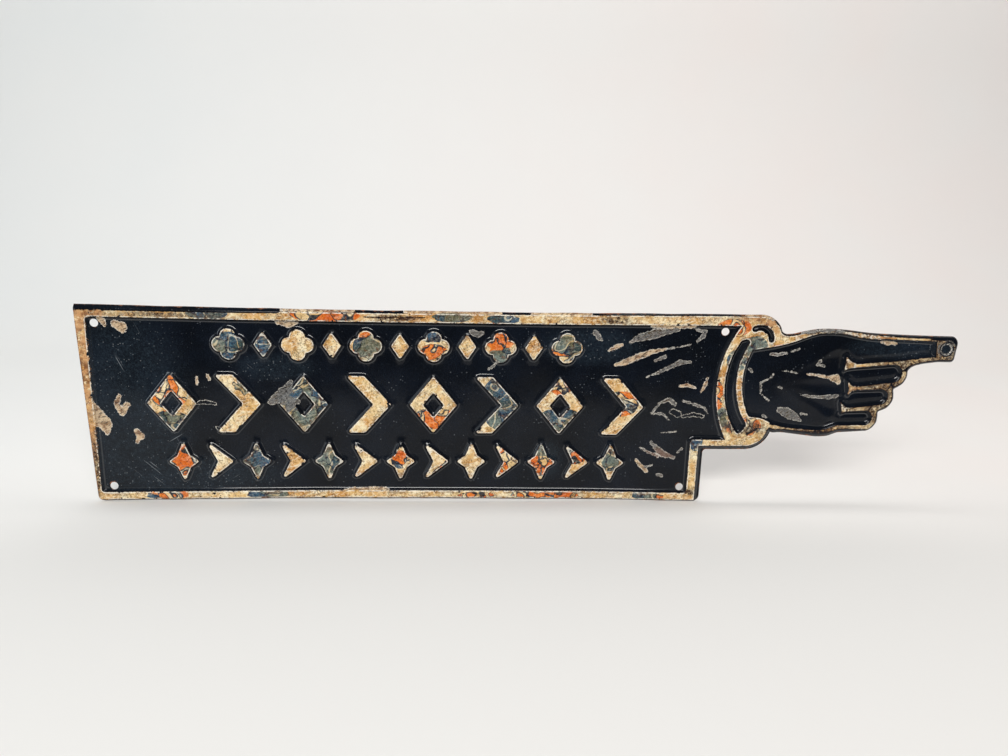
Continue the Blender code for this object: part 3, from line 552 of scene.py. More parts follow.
# %% Rows of points along the walls
WALL_ROWS = [0.6, 0.05, -0.6, -1.6, -2.2, -2.8]
ROW_SLACK = 0.06
ROW_FROM_CUT = 0.25
NAIL_ROWS = [0.3, -0.3, -0.8, -1.4]
NAIL_POINTS = 48
LONGEST_MITRE = 0.4


def moved_sideways(loop, distance):
    """The loop moved to its left, each corner along the bisector of its two sides."""
    ahead = np.roll(loop, -1, axis=0) - loop
    ahead /= np.linalg.norm(ahead, axis=1, keepdims=True)
    left = np.stack([-ahead[:, 1], ahead[:, 0]], axis=1)
    before = np.roll(left, 1, axis=0)
    square = 1 + np.sum(left * before, axis=1, keepdims=True)
    mitre = (left + before) / np.maximum(square, LONGEST_MITRE)
    return loop + mitre * distance


def on_sheet(points, margin):
    """Which points lie on the sheet, and further than a margin from its cut edges."""
    held = is_inside(points, cuts[0])
    for hole in cuts[1:]:
        held &= ~is_inside(points, hole)
    return held & (distance_to(points, cut_starts, cut_ends, margin) >= margin)


lines = []
for loop in rims:
    for row in WALL_ROWS:
        moved = moved_sideways(loop, row)
        near = distance_to(moved, rim_starts, rim_ends)
        in_row = np.abs(near - abs(row)) < ROW_SLACK
        lines.append((moved, in_row & on_sheet(moved, ROW_FROM_CUT)))
turns = np.linspace(0, 2 * math.pi, NAIL_POINTS, endpoint=False)
for row in NAIL_ROWS:
    ring = NAIL_CENTRE + (NAIL_RADIUS + row) * np.stack([np.cos(turns), np.sin(turns)], axis=1)
    lines.append((ring, np.ones(len(ring), bool)))
for loop in cuts:
    lines.append((loop, np.ones(len(loop), bool)))
print(sum(int(kept.sum()) for _, kept in lines), "points on lines")

# %% Grid points over the flats
COARSE, FINE, FINEST = 3.6, 1.5, 0.9
ROUND_STROKES = 1.2
GRID_FROM_CUT = 0.6
GRID_BEFORE_WALL, GRID_PAST_WALL = 1.0, -3.2


def hexagonal_grid(spacing):
    """Points in rows a spacing apart, every other row shifted by half, over the whole sign."""
    low, high = cuts[0].min(axis=0), cuts[0].max(axis=0)
    x, z = np.meshgrid(np.arange(low[0], high[0], spacing),
                       np.arange(low[1], high[1], spacing * math.sqrt(0.75)))
    x = x + (np.arange(len(x)) % 2)[:, None] * spacing / 2
    return np.stack([x.ravel(), z.ravel()], axis=1)


grids = []
for spacing in (COARSE, FINE, FINEST):
    grid = hexagonal_grid(spacing)
    depth, _ = stroke_depth(grid, STROKES + KEPT)
    detailed = (depth > -ROUND_STROKES) | (patchiness(grid, TIGHT) > 0.5)
    needed = np.where(detailed, FINEST, np.where(is_inside(grid, hand_rim), FINE, COARSE))
    grid = grid[needed == spacing]
    grid = grid[on_sheet(grid, GRID_FROM_CUT)]
    crest = crest_distance(grid)
    grids.append(grid[(crest > GRID_BEFORE_WALL) | (crest < GRID_PAST_WALL)])
print([len(grid) for grid in grids], "grid points, from coarse to finest")

# %% Triangulate
def joined():
    """Every point, with the lines that must stay edges."""
    points, edges, total = [], [], 0
    for loop, kept in lines:
        number = np.cumsum(kept) - 1 + total
        both = kept & np.roll(kept, -1)
        edges.append(np.stack([number[both], np.roll(number, -1)[both]], axis=1))
        points.append(loop[kept])
        total += int(kept.sum())
    return np.concatenate(points + grids), np.concatenate(edges)


SAME_POINT = 1e-4

points, edges = joined()
flat, _, faces, _, _, _ = delaunay_2d_cdt(points.tolist(), edges.tolist(), [], 0, SAME_POINT, False)
flat, faces = np.array(flat), np.array(faces)
centres = flat[faces].mean(axis=1)
faces = faces[on_sheet(centres, 0)]
used, faces = np.unique(faces, return_inverse=True)
flat, faces = flat[used], faces.reshape(-1, 3)
print(len(flat), "points,", len(faces), "triangles on each side")

# %% [markdown]
# ## The sheet with its age
#
# The real panel is no longer true. Its long edges have sprung towards each other by about two
# millimetres in the middle, the sheet waves gently out of its plane, and the shears left the
# edges a little uneven. These are small, but they bend the reflections and so show that this is
# thin metal.

# %% Springing and waves
PANEL_HALF = 250.0
EDGE_TOP, EDGE_LOW = 47.75, -112.55
SPRING_TOP, SPRING_LOW = -1.5, 2.3
SHEAR_WAVES = ((1.0, 9.1, 0.0), (0.7, 5.3, 1.7), (0.8, 23, 0.4))
SHEAR_HEIGHT, SHEAR_REACH = 0.09, 1.5
LONG_WAVE = (0.45, 71, 0.8, 60, 0.3)
SLANTING_WAVES = ((0.25, 33, 41, 0), (0.16, 19, -23, 1), (0.08, 11, 9, 0))


def sprung(points):
    """Points moved in the plane: the long edges drawn in as a parabola along the panel.

    Near the edge a sum of sine waves, height sin(x / length + shift), makes the cut uneven.
    """
    x, z = points[:, 0], points[:, 1]
    middle = np.clip(1 - (x / PANEL_HALF) ** 2, 0, 1)
    upward = np.clip((z - EDGE_LOW) / (EDGE_TOP - EDGE_LOW), 0, 1)
    move = middle * (SPRING_LOW + (SPRING_TOP - SPRING_LOW) * upward)
    from_edge = np.minimum(np.abs(z - EDGE_TOP), np.abs(z - EDGE_LOW))
    uneven = sum(tall * np.sin(x / length + shift) for tall, length, shift in SHEAR_WAVES)
    move += SHEAR_HEIGHT * uneven * np.exp(-from_edge / SHEAR_REACH)
    return np.stack([x, z + move], axis=1)


def waves(points):
    """How far the sheet stands out of its plane.

    One long wave is height sin(x / length + shift) cos(z / across + its shift), and the others
    run slantwise: height sin(x / length + z / across + shift).
    """
    x, z = points[:, 0], points[:, 1]
    tall, length, shift, across, shift_across = LONG_WAVE
    wave = tall * np.sin(x / length + shift) * np.cos(z / across + shift_across)
    for tall, length, across, shift in SLANTING_WAVES:
        wave += tall * np.sin(x / length + z / across + shift)
    return wave


def nudged(points, faces):
    """Each point moved a fiftieth of the way to the middle of its triangles.

    A point on the cut edge lies on the end of the high ground and would count as on it or off it
    by chance. Moved inwards it counts as what it belongs to.
    """
    centres = np.repeat(points[faces].mean(axis=1), 3, axis=0)
    corner = faces.ravel()
    shares = np.bincount(corner)
    middle = np.stack([np.bincount(corner, centres[:, k]) / shares for k in range(2)], axis=1)
    return points + (middle - points) / 50


# %% Skin of the sheet
crest = crest_distance(nudged(flat, faces))
height = height_at(flat, crest)
place = sprung(flat)
forward = waves(flat)
front = np.stack([place[:, 0], -(SHEET + height) + forward, place[:, 1]], axis=1)
rear = np.stack([place[:, 0], -height + forward, place[:, 1]], axis=1)
count = len(flat)
a, b = lone_edges(faces).T
strip = np.stack([a, a + count, b + count, b], axis=1)
mesh = bpy.data.meshes.new("pressed_sheet")
mesh.from_pydata(np.concatenate([front, rear]) / 1000, [],
                 faces.tolist() + (faces[:, ::-1] + count).tolist() + strip.tolist())
print("skin", len(mesh.vertices), "points,", 2 * len(faces) + 2 * len(strip), "triangles")

# %% Measures that the materials read
# The wear strays from the rim by a shake in millimetres, more where the sheet is browned and less
# round the fingernail.
NAIL_LIP = 0.4
RIM_SHAKE, BROWN_SHAKE, NAIL_CALM, NAIL_CALM_REACH = 1.6, 3.5, 1.4, 4
SHARP_BEND = 50

depth, uncovers = stroke_depth(flat, STROKES)
kept, _ = stroke_depth(flat, KEPT)
from_cut = distance_to(flat, cut_starts, cut_ends)
crest = np.minimum(crest, beyond_nail(flat) - NAIL_LIP)
kept = np.maximum(kept, HELD_BACK * patchiness(flat, TIGHT) - np.minimum(crest, from_cut))
brown = patchiness(flat, BROWNED)
calm = ease(1.5 - beyond_nail(flat) / NAIL_CALM_REACH)
measures = {"crest": crest, "flake": depth, "bare": uncovers, "cut": from_cut, "kept": kept,
            "brown": brown, "dirt": patchiness(flat, DIRTY), "dusty": patchiness(flat, DUST_AND_SHEEN),
            "ink": patchiness(flat, ORANGE + BLUE + MIXED),
            "warmth": patchiness(flat, ORANGE) - patchiness(flat, BLUE),
            "shake": RIM_SHAKE + BROWN_SHAKE * brown - NAIL_CALM * calm}
for name, values in measures.items():
    values = np.tile(values, 2).astype(np.float32)
    mesh.attributes.new(name, "FLOAT", "POINT").data.foreach_set("value", values)
    print(name, "from", round(float(values.min()), 2), "to", round(float(values.max()), 2))
sheet = bpy.data.objects.new("pressed_sheet", mesh)
bpy.context.scene.collection.objects.link(sheet)
mesh.shade_smooth()
mesh.set_sharp_from_angle(angle=math.radians(SHARP_BEND))
slots = np.repeat([0, 1, 2], [len(faces), len(faces), len(strip)]).astype(np.int32)
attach(sheet, "root")
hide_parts("sign_sheet")

# %% [markdown]
# ## A workbench for materials
#
# Shader nodes are easier to read as a chain of short calls. Each call of the bench adds a node,
# sets or links its inputs and hands back its output. Colours are written as they look on a
# screen and turned into the linear light that the shader reckons in.
#
# Most masks start as cloudy noise, cut off by a smooth step. Such clouds are written as five
# numbers: how many go to a millimetre, their detail, their roughness, and the two values of the
# noise between which the mask grows from nought to one. If the first of the two is the larger,
# the mask holds the low parts of the noise.

# %% Bench
def colour(red, green, blue):
    """Screen colour from 0 to 255 as linear light: the share to the power 2.4, less near black."""
    shares = np.array([red, green, blue]) / 255
    linear = np.where(shares < 0.04045, shares / 12.92, ((shares + 0.055) / 1.055) ** 2.4)
    return (*linear.tolist(), 1.0)


class Bench:
    """Adds nodes to one tree and links them as they come."""

    def __init__(self, tree):
        self.tree = tree

    def node(self, kind, inputs, output=0, **settings):
        """Adds a node. An output of None hands back the node itself."""
        made = self.tree.nodes.new("ShaderNode" + kind)
        for name, value in settings.items():
            setattr(made, name, value)
        for name, value in inputs.items():
            if isinstance(value, bpy.types.NodeSocket):
                self.tree.links.new(value, made.inputs[name])
            else:
                made.inputs[name].default_value = value
        return made if output is None else made.outputs[output]

    def sum(self, operation, a, b=0.0, c=0.0):
        """Arithmetic on numbers."""
        return self.node("Math", {0: a, 1: b, 2: c}, operation=operation)

    def times(self, *factors):
        """Product of numbers."""
        product = factors[0]
        for factor in factors[1:]:
            product = self.sum("MULTIPLY", product, factor)
        return product

    def scaled(self, value, slope, start):
        """The start, plus the value times the slope."""
        return self.sum("MULTIPLY_ADD", value, slope, start)

    def opposite(self, share):
        """One less the share."""
        return self.sum("SUBTRACT", 1.0, share)

    def step(self, value, low, high):
        """Nought at low, one at high, and a smooth change between."""
        return self.node("MapRange", {"Value": value, "From Min": low, "From Max": high},
                         interpolation_type="SMOOTHSTEP")

    def inside(self, value, low, high):
        """One between two limits and nought outside them, with no change between."""
        return self.times(self.sum("GREATER_THAN", value, low), self.sum("LESS_THAN", value, high))

    def band(self, value, foot, rise, fall, end):
        """One from rise to fall, and nought before foot and past end."""
        return self.times(self.step(value, foot, rise), self.step(value, end, fall))

    def mix(self, share, a, b, blend="MIX"):
        """Blends two colours."""
        return self.node("Mix", {0: share, 6: a, 7: b}, 2, data_type="RGBA", blend_type=blend)

    def between(self, share, a, b):
        """A colour between two screen colours."""
        return self.mix(share, colour(*a), colour(*b))

    def tinted(self, base, tint, *shares, blend="MIX"):
        """The base with a screen colour laid over it, as far as the product of the shares says."""
        return self.mix(self.times(*shares), base, colour(*tint), blend)

    def noise(self, vector, scale, detail, roughness, output=0):
        """Cloudy noise. The scale is how many clouds go to a millimetre."""
        return self.node("TexNoise", {"Vector": vector, "Scale": scale, "Detail": detail,
                                      "Roughness": roughness}, output)

    def clouds(self, vector, scale, detail, roughness, low, high):
        """A mask out of cloudy noise."""
        return self.step(self.noise(vector, scale, detail, roughness), low, high)

    def all_clouds(self, vector, kinds):
        """Masks for several kinds of clouds, by their names."""
        return SimpleNamespace(**{name: self.clouds(vector, *kind) for name, kind in kinds.items()})

    def drawn_out(self, vector, turn, length, width):
        """The pattern's space turned, so that clouds of size one come out long in one direction."""
        return self.node("Mapping", {"Vector": vector, "Rotation": (0, math.radians(-turn), 0),
                                     "Scale": (length, width, width)}, vector_type="TEXTURE")

    def measures(self, *names):
        """Some of the sheet's own measures, by their names."""
        return SimpleNamespace(**{name: self.node("Attribute", {}, "Fac", attribute_name=name)
                                  for name in names})

    def millimetres(self):
        """Place on the object in millimetres."""
        place = self.node("TexCoord", {}, "Object")
        return self.node("Mapping", {"Vector": place, "Scale": (1000, 1000, 1000)})

    def bump(self, height):
        """The normal over a height in millimetres."""
        return self.node("Bump", {"Strength": 1.0, "Distance": 0.001, "Height": height}, "Normal")

    def effect(self, group, inputs, output=0):
        """Places a node group and hands back one of its outputs, or its node for None."""
        return self.node("Group", inputs, output, node_tree=group)

    def feed(self, node, inputs):
        """Links values to a node's inputs."""
        for name, value in inputs.items():
            self.tree.links.new(value, node.inputs[name])


KINDS = {"number": "NodeSocketFloat", "vector": "NodeSocketVector", "colour": "NodeSocketColor"}


def new_effect(name, inputs, outputs):
    """An empty node group with named sockets, its bench, its inputs and its output node."""
    tree = bpy.data.node_groups.new(name, "ShaderNodeTree")
    for direction, sockets in (("INPUT", inputs), ("OUTPUT", outputs)):
        for label, kind in sockets.items():
            tree.interface.new_socket(label, in_out=direction, socket_type=KINDS[kind])
    take = tree.nodes.new("NodeGroupInput").outputs
    return tree, Bench(tree), take, tree.nodes.new("NodeGroupOutput")


# %% [markdown]
# ## Ragged edges
#
# Paint never ends in a neat line. The group takes a distance in millimetres, shakes it with a
# coarse and a fine noise, and gives one where the shaken distance is above nought. The rims, the
# flakes and the cut edges all use it, each with its own shake.

# %% Ragged edge
COARSE_SHAKE, FINE_SHAKE = (0.33, 4, 0.65), (1.9, 3, 0.6)
FINE_SHARE = 0.6
USUAL_SHAKE = 0.8
SOFT_EDGE = 0.08

ragged_edge, bench, take, end = new_effect(
    "ragged edge", {"Distance": "number", "Place": "vector", "Shake": "number"}, {"Mask": "number"})
coarse = bench.noise(take["Place"], *COARSE_SHAKE)
fine = bench.noise(take["Place"], *FINE_SHAKE)
shake = bench.scaled(fine, FINE_SHARE, bench.sum("SUBTRACT", coarse, USUAL_SHAKE))
shaken = bench.scaled(shake, take["Shake"], take["Distance"])
bench.feed(end, {"Mask": bench.step(shaken, -SOFT_EDGE, SOFT_EDGE)})


def ragged(bench, distance, place, shake):
    """The ragged edge of a distance."""
    return bench.effect(ragged_edge, {"Distance": distance, "Place": place, "Shake": shake})


# %% [markdown]
# ## Dust and scratches
#
# Small pale specks lie all over an old sign, and fine hairlines run slantwise across it. Specks
# are the middles of tiny cells, of which a random number lets only some through. Hairlines are
# noise drawn out long in one direction, cut off high so that only thin lines stay, and broken up
# by a second noise.

# %% Specks
SPECK_SMALLEST, SPECK_SPREAD = 0.08, 0.24

specks, bench, take, end = new_effect(
    "specks", {"Place": "vector", "Per millimetre": "number", "Share": "number"}, {"Mask": "number"})
cells = bench.node("TexVoronoi", {"Vector": take["Place"], "Scale": take["Per millimetre"]}, None)
pick = bench.node("SeparateColor", {0: cells.outputs["Color"]}, None)
size = bench.scaled(pick.outputs[1], SPECK_SPREAD, SPECK_SMALLEST)
dot = bench.sum("LESS_THAN", cells.outputs["Distance"], size)
chosen = bench.sum("LESS_THAN", pick.outputs[0], take["Share"])
bench.feed(end, {"Mask": bench.times(dot, chosen)})

# %% Hairlines
HAIRLINE_TURNS = ((-42.0, 0.0), (31.0, 40.0), (-64.0, 90.0))
HAIRLINE_LENGTH, HAIRLINE_WIDTH = 60, 1.1
HAIRLINE_STRETCHES = (0.04, 2, 0.6, 0.5, 0.62)

hairlines, bench, take, end = new_effect(
    "hairlines", {"Place": "vector", "Amount": "number"}, {"Mask": "number"})
limit = bench.scaled(take["Amount"], -0.1, 0.8)
shown = 0.0
for turn, shift in HAIRLINE_TURNS:
    drawn = bench.drawn_out(take["Place"], turn, HAIRLINE_LENGTH, HAIRLINE_WIDTH)
    line = bench.step(bench.noise(drawn, 1.0, 2, 0.5), limit, bench.sum("ADD", limit, 0.05))
    shifted = bench.node("VectorMath", {0: take["Place"], 1: (shift, 0, shift)})
    line = bench.times(line, bench.clouds(shifted, *HAIRLINE_STRETCHES))
    shown = bench.sum("MAXIMUM", shown, line)
bench.feed(end, {"Mask": shown})

# %% [markdown]
# ## Rust
#
# Iron shows wherever the tin is through: at the cut edges, round the nail holes and in spots.
# The group gives a rust colour from dark brown to orange and a mask that grows out of a noise as
# the amount goes up.

# %% Rust
RUST_DARK, RUST_LIGHT = (74, 42, 24), (158, 98, 54)

rust, bench, take, end = new_effect(
    "rust", {"Place": "vector", "Amount": "number"}, {"Colour": "colour", "Mask": "number"})
cloud = bench.noise(take["Place"], 0.16, 6, 0.68)
grain = bench.noise(take["Place"], 1.3, 3, 0.6)
level = bench.scaled(grain, 0.25, cloud)
limit = bench.sum("SUBTRACT", 0.95, bench.times(take["Amount"], 0.6))
tone = bench.between(bench.step(grain, 0.3, 0.7), RUST_DARK, RUST_LIGHT)
bench.feed(end, {"Colour": tone, "Mask": bench.step(level, limit, bench.sum("ADD", limit, 0.12))})


def rust_on(bench, place, amount):
    """The colour of the rust and its mask."""
    placed = bench.effect(rust, {"Place": place, "Amount": amount}, None)
    return placed.outputs["Colour"], placed.outputs["Mask"]


# %% [markdown]
# ## The old print
#
# The sheet was first printed for something else, in cream, gold, orange, grey-green and blue with
# dark outlines, and the dies cut it up without care. What it showed isn't copied. Here it is a
# patchwork of warped cells. Some carry orange scrolls, which are bands between the contour lines
# of a smooth noise, and others are blue or grey with fine hatching like an engraving. Away from
# the coloured spots it is plain cream and gold.
#
# Age works on all of it alike: it yellows in clouds, it is scuffed pale in streaks, stained brown
# and flecked, and a net of fine cracks runs through it.

# %% Cells and scrolls
CELL = 17.0
WARP = (20, 0, 20)
SCROLLS = 8.0

inks, bench, take, end = new_effect(
    "inks", {"Place": "vector", "Coloured": "number", "Warmth": "number"},
    {"Colour": "colour", "Plain": "number"})
place = take["Place"]
bend = bench.noise(place, 0.085, 2, 0.5, output="Color")
bend = bench.node("VectorMath", {0: bend, 1: (0.5, 0.5, 0.5)}, operation="SUBTRACT")
bend = bench.node("VectorMath", {0: bend, 1: WARP, 2: place}, operation="MULTIPLY_ADD")
cells = bench.node("TexVoronoi", {"Vector": bend, "Scale": 1 / CELL}, "Color")
border = bench.times(bench.node("TexVoronoi", {"Vector": bend, "Scale": 1 / CELL}, "Distance",
                                feature="DISTANCE_TO_EDGE"), CELL)
scroll = bench.sum("PINGPONG", bench.times(bench.noise(place, 0.05, 1, 0.5), SCROLLS), 1.0)
filled = bench.step(scroll, 0.68, 0.64)
outlined = bench.band(scroll, 0.57, 0.61, 0.73, 0.78)
hatch = bench.node("TexWave", {"Vector": bend, "Scale": 0.3, "Distortion": 2.5, "Detail": 3.0}, "Fac")
zone = bench.scaled(bench.noise(place, 0.03, 3, 0.55), 0.9, take["Coloured"])
coloured = bench.step(zone, 0.88, 0.9)

# %% Which ink a cell takes
# Each cell draws a number from nought to one. Warmth draws it down towards the orange scrolls,
# and its opposite squeezes it into the range of the grey and blue inks.
COOL_RANGE, COOL_START = 0.42, 0.34

ink = bench.node("SeparateColor", {0: cells})
hot = bench.sum("MAXIMUM", take["Warmth"])
cool = bench.sum("MAXIMUM", bench.times(take["Warmth"], -1.0))
ink = bench.times(ink, bench.opposite(hot))
to_cool = bench.sum("SUBTRACT", bench.scaled(ink, COOL_RANGE, COOL_START), ink)
ink = bench.scaled(bench.step(cool, 0.2, 0.5), to_cool, ink)

# %% Inks
mottle = bench.clouds(place, 0.6, 4, 0.75, 0.36, 0.64)
calm = bench.clouds(place, 0.11, 4, 0.6, 0.38, 0.62)
cream = bench.between(calm, (228, 198, 142), (250, 234, 194))
gold = bench.between(calm, (208, 154, 70), (232, 188, 108))
orange = bench.between(mottle, (216, 98, 18), (246, 152, 62))
navy = bench.between(mottle, (16, 24, 40), (36, 52, 74))
grey = bench.between(mottle, (88, 106, 104), (136, 150, 140))
grey = bench.tinted(grey, (50, 66, 74), bench.step(hatch, 0.5, 0.75), 0.5)
grey = bench.tinted(grey, (220, 212, 182), bench.step(scroll, 0.84, 0.9), 0.8)
blue = bench.between(mottle, (32, 74, 108), (76, 116, 138))
blue = bench.tinted(blue, (30, 48, 70), bench.step(hatch, 0.45, 0.75), 0.7)
blue = bench.tinted(blue, (212, 214, 200), bench.step(scroll, 0.86, 0.92), 0.8)
on_cream = bench.mix(outlined, bench.mix(filled, cream, orange), navy)
on_blue = bench.mix(outlined, bench.mix(filled, blue, orange), navy)

# %% Print
# Each cell takes the tone whose two limits its number lies between. Of the cells away from the
# coloured spots, some are gold and the rest stay cream.
printed, plain = cream, 1.0
for low, high, tone in ((-1.0, 0.33, on_cream), (0.33, 0.54, grey), (0.54, 0.77, blue),
                        (0.77, 0.90, on_blue)):
    share = bench.times(bench.inside(ink, low, high), coloured)
    printed = bench.mix(share, printed, tone)
    edge = bench.opposite(bench.step(border, 0.4, 0.65))
    printed = bench.mix(bench.times(share, edge), printed, navy)
    plain = bench.times(plain, bench.opposite(share))
gilt = bench.times(bench.inside(ink, 0.2, 0.45), bench.opposite(coloured), 0.7)
printed = bench.mix(gilt, printed, gold)
engraving = bench.node("TexWave", {"Vector": bend, "Scale": 0.42, "Distortion": 4.0, "Detail": 2.0},
                       "Fac")
engraved = bench.times(bench.step(engraving, 0.6, 0.8), bench.clouds(place, 0.09, 2, 0.5, 0.56, 0.6))
printed = bench.tinted(printed, (96, 66, 44), engraved, plain, 0.6)
bench.feed(end, {"Colour": printed, "Plain": plain})

# %% Age of the print
AGE_CLOUDS = {"yellowing": (0.06, 4, 0.6, 0.35, 0.66), "ochre": (0.21, 5, 0.7, 0.52, 0.66),
              "grimy": (0.075, 4, 0.65, 0.4, 0.62), "stain": (0.33, 6, 0.75, 0.56, 0.64),
              "cracked": (0.09, 3, 0.6, 0.5, 0.6)}

old_print, bench, take, end = new_effect(
    "old print", {"Place": "vector", "Coloured": "number", "Warmth": "number"}, {"Colour": "colour"})
place = take["Place"]
cloud = bench.all_clouds(place, AGE_CLOUDS)
fresh = bench.effect(inks, {name: take[name] for name in ("Place", "Coloured", "Warmth")}, None)
plain = fresh.outputs["Plain"]
fading = bench.scaled(plain, 0.7, 0.3)
scuffed = bench.step(bench.noise(bench.drawn_out(place, 20, 9, 1.6), 1.0, 4, 0.65), 0.54, 0.66)
grime = bench.noise(place, 0.5, 4, 0.72)
fleck = bench.effect(specks, {"Place": place, "Per millimetre": 0.7, "Share": 0.4})
net = bench.node("TexVoronoi", {"Vector": place, "Scale": 0.22}, "Distance", feature="DISTANCE_TO_EDGE")
crack = bench.opposite(bench.step(bench.times(net, 4.5), 0.05, 0.2))

aged = bench.tinted(fresh.outputs["Colour"], (228, 188, 128), cloud.yellowing, 0.85, blend="MULTIPLY")
aged = bench.tinted(aged, (186, 130, 66), cloud.ochre, plain, 0.75)
aged = bench.tinted(aged, (246, 236, 208), scuffed, fading, 0.7)
aged = bench.tinted(aged, (128, 90, 56), bench.step(grime, 0.49, 0.38),
                    bench.scaled(cloud.grimy, 0.6, 0.1), blend="MULTIPLY")
aged = bench.tinted(aged, (255, 246, 218), bench.step(grime, 0.5, 0.62), fading,
                    bench.scaled(cloud.grimy, 0.35, 0.25))
aged = bench.tinted(aged, (104, 64, 38), cloud.stain, 0.8)
aged = bench.tinted(aged, (52, 38, 30), fleck, 0.85)
aged = bench.tinted(aged, (84, 60, 44), crack, cloud.cracked, 0.6)
bench.feed(end, {"Colour": aged})
print("node groups", [group.name for group in bpy.data.node_groups])

# %% [markdown]
# ## The painted front
#
# From the metal up: bare grey tin, the old print, the black paint. Masks say how much of the top
# layer is left. The black is gone from high ground up to a ragged line at the rim, and from the
# flakes. It thins to brown before it goes, and dirt clings to what it leaves. A paint film has a
# thickness, so its edge also goes into the bump.

# %% Where the paint is off
PAINT_CLOUDS = {"left_over": (0.13, 4, 0.65, 0.6, 0.67), "browned": (0.22, 5, 0.75, 0.4, 0.5),
                "rusty": (0.17, 5, 0.7, 0.4, 0.58), "dulled": (0.45, 5, 0.75, 0.38, 0.54),
                "edging": (0.16, 5, 0.7, 0.48, 0.58), "scraped": (0.24, 4, 0.7, 0.42, 0.54),
                "peeled": (0.24, 5, 0.68, 0.38, 0.56), "tin": (0.35, 5, 0.75, 0.38, 0.62),
                "broken": (0.4, 3, 0.6, 0.38, 0.5), "black": (0.02, 4, 0.6, 0.35, 0.7),
                "haze": (0.5, 5, 0.75, 0.4, 0.8), "grit": (1.1, 3, 0.8, 0.54, 0.66),
                "dust": (0.035, 3, 0.6, 0.5, 0.62)}
LEFT_OVER_REACH = 1.5
THINNED_WIDTH = 0.28
FLAKE_SHAKE = 3.6
FLAKE_RIM = 0.4
TORN_TURN, TORN_LENGTH, TORN_WIDTH = 24, 5, 0.9


def new_material(name):
    """A material with its bench, its shader and the place in millimetres."""
    material = bpy.data.materials.new(name)
    material.use_nodes = True
    bench = Bench(material.node_tree)
    return material, bench, material.node_tree.nodes["Principled BSDF"], bench.millimetres()


painted, bench, shader, place = new_material("worn_black_paint")
sheet_has = bench.measures("crest", "flake", "cut", "bare", "dirt", "brown", "kept", "shake", "ink",
                           "warmth", "dusty")
crest, flake = sheet_has.crest, sheet_has.flake
cloud = bench.all_clouds(place, PAINT_CLOUDS)
grain = bench.noise(place, 0.9, 4, 0.7)
remains = bench.scaled(cloud.left_over, -LEFT_OVER_REACH, crest)
remains = bench.sum("MINIMUM", remains, bench.times(sheet_has.kept, -1.0))
worn = ragged(bench, remains, place, sheet_has.shake)
thinned = ragged(bench, bench.sum("ADD", remains, THINNED_WIDTH), place, sheet_has.shake)
clinging = bench.scaled(sheet_has.dirt, -0.28, 0.82)
caked = bench.clouds(place, 0.55, 5, 0.75, bench.sum("SUBTRACT", clinging, 0.05), clinging)
flaked = ragged(bench, flake, place, FLAKE_SHAKE)
inner = ragged(bench, bench.sum("SUBTRACT", flake, FLAKE_RIM), place, FLAKE_SHAKE)
torn = bench.noise(bench.drawn_out(place, TORN_TURN, TORN_LENGTH, TORN_WIDTH), 1.0, 5, 0.75)
scraps = bench.times(bench.step(torn, 0.53, 0.58), inner, 0.85)
blister = bench.times(bench.step(sheet_has.bare, 1.3, 1.7), inner)
flaked = bench.times(flaked, bench.opposite(bench.sum("MAXIMUM", scraps, blister)))
off = bench.sum("MAXIMUM", bench.times(worn, bench.opposite(caked)), flaked)
metal_here = bench.times(bench.step(sheet_has.bare, 0.4, 0.6), flaked)

# %% Colours of the print where it shows
shown = bench.effect(old_print, {"Place": place, "Coloured": sheet_has.ink,
                                 "Warmth": sheet_has.warmth})
rusty = bench.between(cloud.rusty, (118, 70, 38), (204, 152, 102))
shown = bench.mix(bench.times(sheet_has.brown, cloud.browned, 0.92), shown, rusty)
middle = bench.scaled(bench.step(crest, 0.5, 1.4), 0.6, 0.4)
shown = bench.tinted(shown, (88, 76, 66), sheet_has.dirt, cloud.dulled, middle, 0.85)
shown = bench.tinted(shown, (112, 76, 46), bench.step(crest, 1.8, 0.6), cloud.edging, 0.7)
# A pale line just inside each rim: scraped print, and a painted highlight along the rounded top edge.
from_rim = bench.sum("ABSOLUTE", bench.sum("SUBTRACT", crest, 0.3))
rim_scuff_and_highlight = bench.opposite(bench.step(from_rim, 0.15, 0.6))
shown = bench.tinted(shown, (248, 242, 226), rim_scuff_and_highlight, cloud.scraped, 0.85)
peeled = bench.times(flaked, bench.opposite(bench.step(crest, -1.5, 0)))
primer = bench.between(cloud.peeled, (122, 86, 62), (212, 188, 156))
shown = bench.mix(bench.times(peeled, 0.85), shown, primer)

# %% Colours of the tin
tin = bench.between(cloud.tin, (40, 42, 46), (112, 111, 110))
tin = bench.tinted(tin, (196, 192, 184), bench.band(torn, 0.45, 0.49, 0.51, 0.54), 0.45)
tin = bench.tinted(tin, (190, 186, 178), bench.step(grain, 0.56, 0.66), 0.5)
tin = bench.tinted(tin, (44, 42, 44), bench.step(grain, 0.46, 0.38), 0.7)
tin = bench.tinted(tin, (140, 98, 76), sheet_has.brown, 0.5)
under = bench.mix(metal_here, shown, tin)
sunk = bench.opposite(bench.step(crest, -1.0, 0))
under = bench.tinted(under, (234, 228, 216), flaked, bench.opposite(inner), sunk, cloud.broken, 0.85)

# %% Colours of the paint
VEIL_CLOUD = (0.06, 3, 0.6)
DUST_PER_MILLIMETRE, DUST_SHARE = 0.55, 0.22

